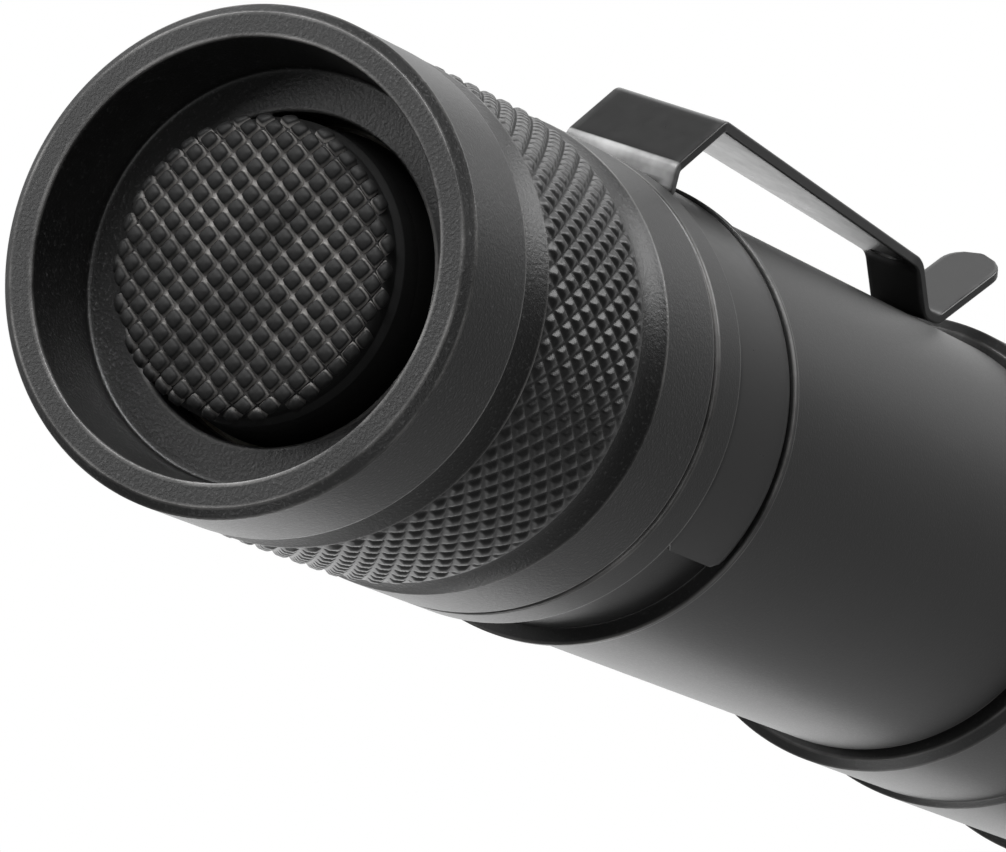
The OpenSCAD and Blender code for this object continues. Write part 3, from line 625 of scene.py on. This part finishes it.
def bumpMesh(s):
    # one raised square with soft corners, on its own foot
    work = bmesh.new()
    groove = work.verts.layers.float.new("groove")
    around, power = s["bumpSides"], s["squareness"]
    rings = []
    for half, z, dust in s["bumpLevels"]:
        ring = []
        for step in range(around):
            angle = 2 * math.pi * step / around
            c, n = math.cos(angle), math.sin(angle)
            soft = 1 / (abs(c) ** power + abs(n) ** power) ** (1 / power)
            vert = work.verts.new((half * soft * c * mm, half * soft * n * mm, z * mm))
            vert[groove] = dust
            ring.append(vert)
        rings.append(ring)
    for low, high in zip(rings, rings[1:]):
        for step in range(around):
            n = (step + 1) % around
            work.faces.new((low[step], low[n], high[n], high[step]))
    tip = work.verts.new((0, 0, -s["bumpHeight"] * mm))
    for step in range(around):
        work.faces.new((rings[-1][step], rings[-1][(step + 1) % around], tip))
    work.faces.new(rings[0])
    return closeMesh(meshOf(work, "bootBump"))


def bumpTree(many=22):
    tree, given, outlet = startTree("bootBumps", {
        "Bump": "Object", "Pitch": "Float", "Limit": "Float", "Dome Radius": "Float",
        "Base": "Float", "Turn": "Float", "Shift": "Vector", "Material": "Material"})
    side = calc(tree, "MULTIPLY", given["Pitch"], many - 1.0)
    grid = put(tree, "GeometryNodeMeshGrid", None, {
        "Size X": side, "Size Y": side, "Vertices X": many, "Vertices Y": many}).outputs["Mesh"]
    turnAngles = put(tree, "ShaderNodeCombineXYZ", None, {"Z": given["Turn"]}).outputs[0]
    turned = put(tree, "GeometryNodeTransform", None, {
        "Geometry": grid, "Rotation": turnAngles, "Translation": given["Shift"]}).outputs[0]
    place = put(tree, "GeometryNodeInputPosition").outputs[0]
    split = put(tree, "ShaderNodeSeparateXYZ", None, {"Vector": place}).outputs
    flat2 = calc(tree, "ADD", calc(tree, "MULTIPLY", split[0], split[0]),
                 calc(tree, "MULTIPLY", split[1], split[1]))
    flat = calc(tree, "SQRT", flat2)
    beyond = calc(tree, "GREATER_THAN", flat, given["Limit"])
    kept = put(tree, "GeometryNodeDeleteGeometry", {"domain": "POINT"},
               {"Geometry": turned, "Selection": beyond}).outputs[0]
    big = given["Dome Radius"]
    rise = calc(tree, "SQRT", calc(tree, "SUBTRACT", calc(tree, "MULTIPLY", big, big), flat2))
    z = calc(tree, "ADD", given["Base"], calc(tree, "SUBTRACT", big, rise))
    spot = put(tree, "ShaderNodeCombineXYZ", None, {"X": split[0], "Y": split[1], "Z": z})
    lifted = put(tree, "GeometryNodeSetPosition", None,
                 {"Geometry": kept, "Position": spot.outputs[0]}).outputs[0]
    up = put(tree, "ShaderNodeCombineXYZ", None, {
        "X": calc(tree, "MULTIPLY", split[0], -1.0),
        "Y": calc(tree, "MULTIPLY", split[1], -1.0), "Z": rise}).outputs[0]
    euler = put(tree, "FunctionNodeEulerToRotation", None, {"Euler": turnAngles}).outputs[0]
    lean = put(tree, "FunctionNodeAlignRotationToVector", {"axis": "Z", "pivot_axis": "AUTO"},
               {"Rotation": euler, "Vector": up}).outputs[0]
    unit = put(tree, "GeometryNodeObjectInfo", {"transform_space": "ORIGINAL"},
               {"Object": given["Bump"]}).outputs["Geometry"]
    copies = put(tree, "GeometryNodeInstanceOnPoints", None,
                 {"Points": lifted, "Instance": unit, "Rotation": lean}).outputs[0]
    endTree(tree, copies, given["Material"], outlet)
    return tree


bumpUnit = bpy.data.objects.new("bootBumpUnit", bumpMesh(boot))
bumpField = runTree(bumpTree(), {
    "Bump": bumpUnit, "Pitch": boot["pitch"] * mm, "Limit": boot["limit"] * mm,
    "Dome Radius": boot["domeRadius"] * mm, "Base": (boot["top"] + boot["bumpHeight"]) * mm,
    "Turn": math.radians(boot["turn"]), "Shift": [c * mm for c in boot["shift"]],
    "Material": bootRubber}, "bootBumps")
bpy.data.objects.remove(bumpUnit)


def joinMeshes(name, *meshes):
    work = bmesh.new()
    for mesh in meshes:
        work.from_mesh(mesh)
    return meshOf(work, name)


addPiece(joinMeshes("bootPad", bootBody(boot), wrapBumps(boot, bumpField)), "bootPad",
         "switch_button", "boot_rubber", bootRubber, "switch_boot")
print("boot made")


# battery tube and head
tube = {
    "threadRadius": 10.6, "start": 20.6, "collarStart": 29.5, "collarRadius": 12.45,
    "grooveStart": 32.4, "grooveEnd": 39.6, "grooveRadius": 11.55, "lipEnd": 40.0,
    "barrelStart": 40.5, "barrelRadius": 12.0, "barrelEnd": 81.0, "headThread": 11.0,
    "end": 89.2, "bore": 9.45, "sharp": 0.05,
}


def tubeOutline(s):
    sharp = s["sharp"]
    return [
        (s["bore"], s["start"], 0.1), (s["threadRadius"], s["start"], 0.3),
        (s["threadRadius"], s["collarStart"], sharp), (s["collarRadius"], s["collarStart"], 0.2),
        (s["collarRadius"], s["grooveStart"], 0.07), (s["grooveRadius"], s["grooveStart"], sharp),
        (s["grooveRadius"], s["grooveEnd"], sharp), (s["collarRadius"], s["grooveEnd"], 0.07),
        (s["collarRadius"], s["lipEnd"], 0.08), (s["barrelRadius"], s["barrelStart"], 0.1),
        (s["barrelRadius"], s["barrelEnd"], 0.3), (s["headThread"], s["barrelEnd"], sharp),
        (s["headThread"], s["end"], 0.3), (s["bore"], s["end"], 0.1),
    ]


addPiece(turnedMesh("tubeShell", tubeOutline(tube)), "tubeShell",
         "light_body", "anodised", anodisedSmooth, "battery_tube")

head = {
    "start": 81.9, "bevel": 0.6, "rearRadius": 13.0, "stepEnd": 95.3, "frontRadius": 13.35,
    "end": 115.3, "seatRadius": 12.75, "seatEnd": 120.55, "socket": 11.1, "shelfStart": 97.75,
    "shelfEnd": 100.75, "bore": 12.0, "wireHole": 1.0, "sharp": 0.05,
}


def headOutline(s):
    step, sharp = s["frontRadius"] - s["rearRadius"], s["sharp"]
    return [
        (s["socket"], s["start"], 0.15), (s["rearRadius"] - s["bevel"], s["start"], 0.08),
        (s["rearRadius"], s["start"] + s["bevel"], 0.1),
        (s["rearRadius"], s["stepEnd"] - step, sharp),
        (s["frontRadius"], s["stepEnd"], 0.06), (s["frontRadius"], s["end"], 0.15),
        (s["seatRadius"], s["end"], sharp), (s["seatRadius"], s["seatEnd"], 0.15),
        (s["bore"], s["seatEnd"], 0.1), (s["bore"], s["shelfEnd"], sharp),
        (s["wireHole"], s["shelfEnd"], sharp), (s["wireHole"], s["shelfStart"], sharp),
        (s["socket"], s["shelfStart"], sharp),
    ]


addPiece(turnedMesh("headShell", headOutline(head)), "headShell",
         "light_body", "anodised", anodisedSmooth, "head_housing")

bezel = {
    "start": 115.6, "end": 125.6, "radius": 13.9, "edge": 0.6, "seat": 12.77, "lip": 121.25,
    "window": 11.0, "flareStart": 122.25, "flare": 1.4, "scallops": 6, "scallopDepth": 1.0,
    "scallopRadius": 5.0, "fixedBelow": 122.75, "around": 432,
}


def bezelOutline(s):
    return [
        (s["seat"], s["start"], 0.1), (s["radius"] - s["edge"], s["start"], 0.1),
        (s["radius"], s["start"] + s["edge"], 0.12), (s["radius"], s["end"] - s["edge"], 0.12),
        (s["radius"] - s["edge"], s["end"], 0.1), (s["window"] + s["flare"], s["end"], 0.1),
        (s["window"], s["flareStart"], 0.12), (s["window"], s["lip"], 0.08),
        (s["seat"], s["lip"], 0.05),
    ]


def scallopCut(r, z, angle):
    s = bezel
    pitch = 2 * math.pi / s["scallops"]
    off = (angle + pitch / 2) % pitch - pitch / 2
    across = r * math.sin(off)
    if abs(across) >= s["scallopRadius"] or z < s["fixedBelow"]:
        return z
    # the whole rim sinks into the cut, so its chamfers follow it
    cut = math.sqrt(s["scallopRadius"] ** 2 - across ** 2)
    drop = max(0.0, s["scallopDepth"] - s["scallopRadius"] + cut)
    share = min(1.0, (z - s["fixedBelow"]) / (s["end"] - s["edge"] - s["fixedBelow"]))
    return z - drop * share


bezelMesh = turnedMesh("bezelRing", bezelOutline(bezel), around=bezel["around"], shift=scallopCut)
addPiece(bezelMesh, "bezelRing", "light_body", "anodised", anodisedBlack, "bezel")
print("tube, head and bezel made")


# reflector, light source and glass
bowl = {
    "hole": 3.5, "mouth": 11.0, "start": 103.35, "length": 15.2, "outer": 11.8, "rim": 1.0,
    "foot": 5.5, "steps": 36,
}


def bowlOutline(s):
    points = []
    for k in range(s["steps"] + 1):
        r = s["hole"] + (s["mouth"] - s["hole"]) * k / s["steps"]
        deep = (r * r - s["hole"] ** 2) / (s["mouth"] ** 2 - s["hole"] ** 2)
        points.append((r, s["start"] + s["length"] * deep, 0))
    end = s["start"] + s["length"]
    return points + [
        (s["outer"], end, 0.1), (s["outer"], end - s["rim"], 0.1),
        (s["outer"] - s["rim"], end - s["rim"], 0.1), (s["foot"], s["start"], 0.1)]


addPiece(turnedMesh("reflectorBowl", bowlOutline(bowl), around=192), "reflectorBowl",
         "light_body", "reflector", mirrorBowl, "reflector")

emitterDome = {"radius": 2.1, "base": 103.05, "steps": 15}


def domeOutline(s):
    points = [(0, s["base"], 0)]
    for k in range(s["steps"]):
        angle = math.pi / 2 * k / s["steps"]
        points.append((s["radius"] * math.cos(angle), s["base"] + s["radius"] * math.sin(angle), 0))
    return points + [(0, s["base"] + s["radius"], 0)]


domeMesh = turnedMesh("emitterDome", domeOutline(emitterDome), closed=False, around=96)
addPiece(domeMesh, "emitterDome", "light_body", "led_dome", phosphorGel, "led_dome")

glassDisc = {"radius": 11.9, "start": 118.55, "end": 120.55, "fillet": 0.2}


def glassOutline(s):
    return [(0, s["start"], 0), (s["radius"], s["start"], s["fillet"]),
            (s["radius"], s["end"], s["fillet"]), (0, s["end"], 0)]


glassMesh = turnedMesh("glassDisc", glassOutline(glassDisc), closed=False, around=192)
addPiece(glassMesh, "glassDisc", "light_body", "glass", lensGlass, "lens")


# springs of round wire
def springTree():
    tree, given, outlet = startTree("contactSpring", {
        "Turns": "Float", "Low Radius": "Float", "High Radius": "Float", "Start": "Float",
        "Height": "Float", "Wire": "Float", "Material": "Material"})
    line = put(tree, "GeometryNodeCurveSpiral", None, {
        "Resolution": 40, "Rotations": given["Turns"], "Start Radius": given["Low Radius"],
        "End Radius": given["High Radius"], "Height": given["Height"]}).outputs[0]
    lift = put(tree, "ShaderNodeCombineXYZ", None, {"Z": given["Start"]}).outputs[0]
    placed = put(tree, "GeometryNodeTransform", None,
                 {"Geometry": line, "Translation": lift}).outputs[0]
    section = put(tree, "GeometryNodeCurvePrimitiveCircle", None,
                  {"Resolution": 14, "Radius": given["Wire"]}).outputs["Curve"]
    wire = put(tree, "GeometryNodeCurveToMesh", None,
               {"Curve": placed, "Profile Curve": section, "Fill Caps": True}).outputs[0]
    endTree(tree, wire, given["Material"], outlet)
    return tree


coilTree = springTree()
springs = {
    "tailSpring": {
        "body": "tail_end", "node": "tail_contact_spring", "turns": 3.0, "low": 5.7, "high": 3.0,
        "start": 17.72, "height": 4.86, "wire": 0.35},
    "headSpring": {
        "body": "light_body", "node": "head_contact_spring", "turns": 2.0, "low": 2.65,
        "high": 5.7, "start": 88.52, "height": 3.26, "wire": 0.35},
    "returnSpring": {
        "body": "tail_end", "node": "switch_return_spring", "turns": 3.0, "low": 2.75,
        "high": 2.75, "start": 12.575, "height": 2.7, "wire": 0.225,
        "restsAt": 15.5, "pressedShare": 0.49},
}
for name, coil in springs.items():
    mesh = runTree(coilTree, {
        "Turns": coil["turns"], "Low Radius": coil["low"] * mm,
        "High Radius": coil["high"] * mm, "Start": coil["start"] * mm,
        "Height": coil["height"] * mm, "Wire": coil["wire"] * mm,
        "Material": nickelBright}, name)
    spring = addPiece(closeMesh(mesh, seamGap), name, coil["body"], "spring_nickel",
                      nickelBright, coil["node"])
    if "restsAt" in coil:  # the plunger presses it against the housing's floor; here it only gets a mesh of its own
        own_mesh(spring)
print("light source, glass and springs made")


# pocket clip: an open ring and a bent strap of one sheet
clip = {
    "ringIn": 11.65, "thick": 0.6, "ringStart": 32.7, "ringEnd": 39.3, "halfAngle": 117.0,
    "corner": 0.7, "ringSteps": 150, "width": 6.7, "tipWidth": 3.5, "taper": (38.6, 69.6),
    # nearer the axis than the last radius on the next line, the strap's foot is painted bright: a
    # painted highlight
    "spacing": 0.35, "edge": 0.12, "smoothBelow": 32, "sheenPaintedBelow": 13.15,
    "holeRadius": 0.8, "holeZ": 69.3, "drillAt": 13.6, "drillLength": 6.0,
    # the strap's middle line: height along the light, distance from its axis, bend radius
    "path": [(35.35, 11.75, 0), (35.05, 13.05, 0.5), (38.65, 16.12, 0.8), (70.7, 14.68, 2.4),
             (73.7, 12.36, 1.5), (75.5, 12.36, 1.6), (82.0, 16.8, 0)],
}


def bendPath(points, steps=8):
    # a bend takes less than half of a side, or nearly all of one that starts at a plain end
    half, whole = 0.46, 0.95
    line = []
    for index, (z, x, radius) in enumerate(points):
        here = Vector((z, x))
        if radius <= 0 or index in (0, len(points) - 1):
            line.append(here)
            continue
        back = Vector(points[index - 1][:2]) - here
        ahead = Vector(points[index + 1][:2]) - here
        room = half if points[index - 1][2] > 0 else whole
        reach = min(radius / math.tan(back.angle(ahead) / 2),
                    room * back.length, half * ahead.length)
        first, last = here + back.normalized() * reach, here + ahead.normalized() * reach
        for step in range(steps + 1):
            t = step / steps
            line.append((1 - t) ** 2 * first + 2 * t * (1 - t) * here + t ** 2 * last)
    return line


def evenLine(line, spacing):
    result = [line[0]]
    for a, b in zip(line, line[1:]):
        parts = max(1, round((b - a).length / spacing))
        result += [a + (b - a) * k / parts for k in range(1, parts + 1)]
    return result


sheetEdge = {"wear": 0.12, "most": 0.9, "beside": 0.06}


def sheetSection(halfWidth, halfThick, edge):
    # a flat bar's section with rounded edges: (across, up, wear)
    edge = min(edge, min(halfWidth, halfThick) * sheetEdge["most"])
    corners = []
    for sx, sy, start in ((1, 1, 0), (-1, 1, 90), (-1, -1, 180), (1, -1, 270)):
        for k in range(5):
            angle = math.radians(start + 22.5 * k)
            corners.append((sx * (halfWidth - edge) + edge * math.cos(angle),
                            sy * (halfThick - edge) + edge * math.sin(angle),
                            sheetEdge["wear"]))
    result = []
    for k, (a, b) in enumerate(zip(corners, corners[1:] + corners[:1])):
        result.append(a)
        if k % 5 == 4:
            for share in (sheetEdge["beside"], 1 - sheetEdge["beside"]):
                result.append((a[0] + (b[0] - a[0]) * share, a[1] + (b[1] - a[1]) * share, 0.0))
    return result


def barMesh(name, frames):
    # frames: (place, across, up, section); joins them into one closed bar
    work = bmesh.new()
    wearAndSheenLayer = work.verts.layers.float.new("wear")
    rings = []
    for place, across, up, section in frames:
        ring = []
        for a, b, wear in section:
            vert = work.verts.new((place + across * a + up * b) * mm)
            vert[wearAndSheenLayer] = wear
            ring.append(vert)
        rings.append(ring)
    for one, two in zip(rings, rings[1:]):
        for k in range(len(one)):
            n = (k + 1) % len(one)
            work.faces.new((one[k], one[n], two[n], two[k]))
    work.faces.new(rings[0])
    work.faces.new(rings[-1])
    return closeMesh(meshOf(work, name))


def strapMesh(s):
    line = evenLine(bendPath(s["path"]), s["spacing"])
    tip, half, thick = s["tipWidth"] / 2, s["width"] / 2, s["thick"] / 2
    broad, narrow = s["taper"]
    lengths = [0.0]
    for a, b in zip(line, line[1:]):
        lengths.append(lengths[-1] + (b - a).length)
    total = lengths[-1]
    frames = []
    for index, spot in enumerate(line):
        along = line[min(index + 1, len(line) - 1)] - line[max(index - 1, 0)]
        along.normalize()
        left = total - lengths[index]
        share = min(max((spot[0] - broad) / (narrow - broad), 0), 1)
        reach = half + (tip - half) * share
        if left < tip:  # the tip is rounded, and ends a little blunt
            reach = math.sqrt(max(tip * tip - (tip - left) ** 2, 0.05))
        up = Vector((along[0], 0, -along[1]))
        section = sheetSection(reach, thick, s["edge"])
        if spot[1] < s["sheenPaintedBelow"] and spot[0] < s["taper"][0]:  # the foot is painted bright through its wear mark: a painted highlight on the fold
            section = [(across, above, 1.0) for across, above, _ in section]
        frames.append((Vector((spot[1], 0, spot[0])), Vector((0, 1, 0)), up, section))
    return barMesh("strap", frames)


def clipRingMesh(s):
    middle = s["ringIn"] + s["thick"] / 2
    height = (s["ringEnd"] - s["ringStart"]) / 2
    centre = (s["ringEnd"] + s["ringStart"]) / 2
    steps, corner, spread = s["ringSteps"], s["corner"], math.radians(s["halfAngle"])
    frames = []
    for k in range(steps + 1):
        turn = 2 * k / steps - 1
        angle = spread * turn
        near = (1 - abs(turn)) * spread * middle
        reach = height
        if near < corner:
            reach = height - corner + math.sqrt(max(corner ** 2 - (corner - near) ** 2, 0))
        out = Vector((math.cos(angle), math.sin(angle), 0))
        frames.append((out * middle + Vector((0, 0, centre)), Vector((0, 0, 1)), out,
                       sheetSection(reach, s["thick"] / 2, s["edge"])))
    return barMesh("clipRing", frames)


def drillMesh(s):
    # the drill for the hole near the tip
    work = bmesh.new()
    radius = s["holeRadius"] * mm
    place = Matrix.Translation((s["drillAt"] * mm, 0, s["holeZ"] * mm))
    bmesh.ops.create_cone(work, cap_ends=True, segments=48, radius1=radius, radius2=radius,
                          depth=s["drillLength"] * mm,
                          matrix=place @ Matrix.Rotation(math.pi / 2, 4, "Y"))
    return meshOf(work, "clipDrill")


def clipSheet(s):
    maker = bpy.data.objects.new("clipMaker", strapMesh(s))
    helpers = []
    for operation, mesh in (("UNION", clipRingMesh(s)), ("DIFFERENCE", drillMesh(s))):
        helper = bpy.data.objects.new("clip" + operation.title(), mesh)
        stageScene.collection.objects.link(helper)
        helpers.append(helper)
        modifier = maker.modifiers.new(operation, "BOOLEAN")
        modifier.operation = operation
        modifier.solver = "EXACT"
        modifier.object = helper
    mesh = asPlainMesh(maker, "pocketClipSheet")
    for helper in helpers:
        bpy.data.objects.remove(helper)
    return mesh


def smoothByAngle(mesh, degrees):
    work = bmesh.new()
    work.from_mesh(mesh)
    bmesh.ops.remove_doubles(work, verts=work.verts, dist=1e-6)
    for edge in work.edges:
        if len(edge.link_faces) == 2 and edge.calc_face_angle(0) > math.radians(degrees):
            edge.smooth = False
    for face in work.faces:
        face.smooth = True
    work.to_mesh(mesh)
    work.free()
    return mesh


addPiece(smoothByAngle(clipSheet(clip), clip["smoothBelow"]), "pocketClipSheet",
         "clip", "clip_steel", clipBlack, "pocket_clip")
print("clip made")


# finishes of the CAD nodes that stay as they are
carried = {
    # the boot washer takes the black clip finish so the gap beside the boot stays dark: painted
    # shade in that gap
    "boot_flange": bootRubber, "boot_washer": clipBlack, "switch_housing": nylonPale,
    "switch_retaining_ring": brassTurned, "tail_contact_plate": brassTurned,
    "switch_plunger": nylonPale, "rear_seal": sealRed,
    "front_seal": sealRed, "battery_can": cellWrap, "battery_button": nickelBright,
    "driver_retaining_ring": brassTurned, "driver_board": boardGreen,
    "driver_components": chipBlack, "led_board": maskWhite, "led_emitter": maskWhite,
    "centring_ring": maskWhite, "lens_seal": sealBlack,
}
for name, material in carried.items():
    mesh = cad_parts[name].data
    mesh.materials.clear()
    mesh.materials.append(material)
print("carried nodes finished:", len(carried))


# camera, fitted to the photograph's edges; spot in mm
cameraPlace = {
    "spot": (-14.5716, 194.377, -353.350), "right": (0.33650, 0.84534, 0.41493),
    "up": (0.94126, -0.28871, -0.17516), "forward": (0.02828, -0.44950, 0.89283),
    "lens": 304.17, "sensor": 36, "reach": (0.02, 20),
}


def makeCamera(s):
    data = bpy.data.cameras.new("photoCamera")
    data.lens = s["lens"]
    data.sensor_width = s["sensor"]
    data.clip_start, data.clip_end = s["reach"]
    camera = bpy.data.objects.new("photoCamera", data)
    stageScene.collection.objects.link(camera)
    axes = [Vector(s["right"]), Vector(s["up"]), -Vector(s["forward"])]
    turn = Matrix(axes).transposed().to_4x4()
    turn.translation = Vector(s["spot"]) * mm
    camera.matrix_world = turn
    stageScene.camera = camera


makeCamera(cameraPlace)


# floor, backdrop and light
# the light stands on its tail; the photograph's camera looks up through the floor, which shows
# only from above
paleFloor = {"radius": 0.5, "drop": 0.0002, "level": 0.82, "fade": (0.12, 0.3)}


def makeFloor(s):
    work = bmesh.new()
    bmesh.ops.create_circle(work, cap_ends=True, segments=96, radius=s["radius"])
    data = meshOf(work, "floor")
    floor = bpy.data.objects.new("floor", data)
    floor.location.z = -s["drop"]
    stageScene.collection.objects.link(floor)
    made = bpy.data.materials.new("paleFloor")
    made.use_nodes = True
    tree = made.node_tree
    tree.nodes.clear()
    place = put(tree, "ShaderNodeTexCoord").outputs["Object"]
    away = put(tree, "ShaderNodeVectorMath", {"operation": "LENGTH"}, {0: place}).outputs["Value"]
    rays = put(tree, "ShaderNodeLightPath").outputs["Is Camera Ray"]
    back = put(tree, "ShaderNodeNewGeometry").outputs["Backfacing"]
    shown = calc(tree, "MULTIPLY", rays, calc(tree, "SUBTRACT", 1.0, back))
    shown = calc(tree, "MULTIPLY", shown, calc(tree, "SUBTRACT", 1.0, ramp(tree, away, *s["fade"])))
    matt = put(tree, "ShaderNodeBsdfDiffuse", None, {"Color": grey(s["level"])}).outputs[0]
    clear = put(tree, "ShaderNodeBsdfTransparent").outputs[0]
    mix = put(tree, "ShaderNodeMixShader", None, {0: shown, 1: clear, 2: matt}).outputs[0]
    out = put(tree, "ShaderNodeOutputMaterial")
    tree.links.new(mix, out.inputs["Surface"])
    data.materials.append(made)


makeFloor(paleFloor)

# what the finishes mirror of the white room: direction in the photograph's own axes (right, down,
# away), narrowness, strength
roomLevel = 0.035
roomGlow = {
    "backdrop": ((0.0, -0.1, 1.0), 9.0, 0.6), "behind": ((0, 0, 1), 2.0, 0.45),
    "below": ((0, 1, 0), 2.0, 0.11), "infront": ((0, 0, -1), 2.0, 0.22),
}


def fromPhoto(x, y, z):
    s = cameraPlace
    return Vector(s["right"]) * x - Vector(s["up"]) * y + Vector(s["forward"]) * z


def makeWorld(level):
    world = bpy.data.worlds.new("whiteRoom")
    stageScene.world = world
    world.use_nodes = True
    tree = world.node_tree
    tree.nodes.clear()
    rays = put(tree, "ShaderNodeLightPath").outputs
    way = put(tree, "ShaderNodeTexCoord").outputs["Generated"]
    glow = level
    for direction, narrow, strength in roomGlow.values():
        made = put(tree, "ShaderNodeVectorMath", {"operation": "DOT_PRODUCT"},
                   {0: way, 1: fromPhoto(*direction).normalized()})
        side = calc(tree, "POWER", calc(tree, "MAXIMUM", made.outputs["Value"], 0.0), narrow)
        glow = calc(tree, "MULTIPLY_ADD", side, strength, glow)
    strength = blendNumber(tree, rays["Is Glossy Ray"], level, glow)
    seen = calc(tree, "MAXIMUM", rays["Is Camera Ray"], rays["Is Transmission Ray"])
    strength = blendNumber(tree, seen, strength, 1.0)
    shown = put(tree, "ShaderNodeBackground", None, {"Color": grey(1.0), "Strength": strength})
    out = put(tree, "ShaderNodeOutputWorld")
    tree.links.new(shown.outputs[0], out.inputs["Surface"])


makeWorld(roomLevel)

# each lamp: direction in the photograph's own axes, size in m, watts
lampAim = (0, 0, 0.035)
lampDistance = 0.7
lamps = {
    "frontTop": ((-0.16, -0.80, -0.58), 0.42, 3.9),
    "frontLeft": ((-0.84, -0.42, -0.35), 0.42, 0.9),
    "frontRight": ((0.39, -0.44, -0.81), 0.42, 0.4),
    "frontLow": ((0.0, 0.35, -0.93), 0.5, 0.5),
    "topLeft": ((-0.52, -0.85, 0.04), 0.42, 2.5),
    "right": ((0.82, -0.48, 0.28), 0.42, 1.5),
    "low": ((-0.19, 0.97, 0.12), 0.42, 1.1),
    "backTop": ((0.2, -0.65, 0.73), 0.5, 0.5),
    "backLow": ((-0.2, 0.4, 0.9), 0.5, 0.5),
}


def makeLamp(name, direction, size, watts):
    data = bpy.data.lights.new(name, "AREA")
    data.shape = "DISK"
    data.size = size
    data.energy = watts
    lamp = bpy.data.objects.new(name, data)
    stageScene.collection.objects.link(lamp)
    away = fromPhoto(*direction).normalized()
    lamp.location = Vector(lampAim) + away * lampDistance
    lamp.rotation_mode = "QUATERNION"
    lamp.rotation_quaternion = away.to_track_quat("Z", "Y")
    lamp.visible_camera = False


for name, (direction, size, watts) in lamps.items():
    makeLamp(name, direction, size, watts)

stageScene.view_settings.view_transform = "Standard"
print("camera, floor and lamps made")

bpy.context.view_layer.update()
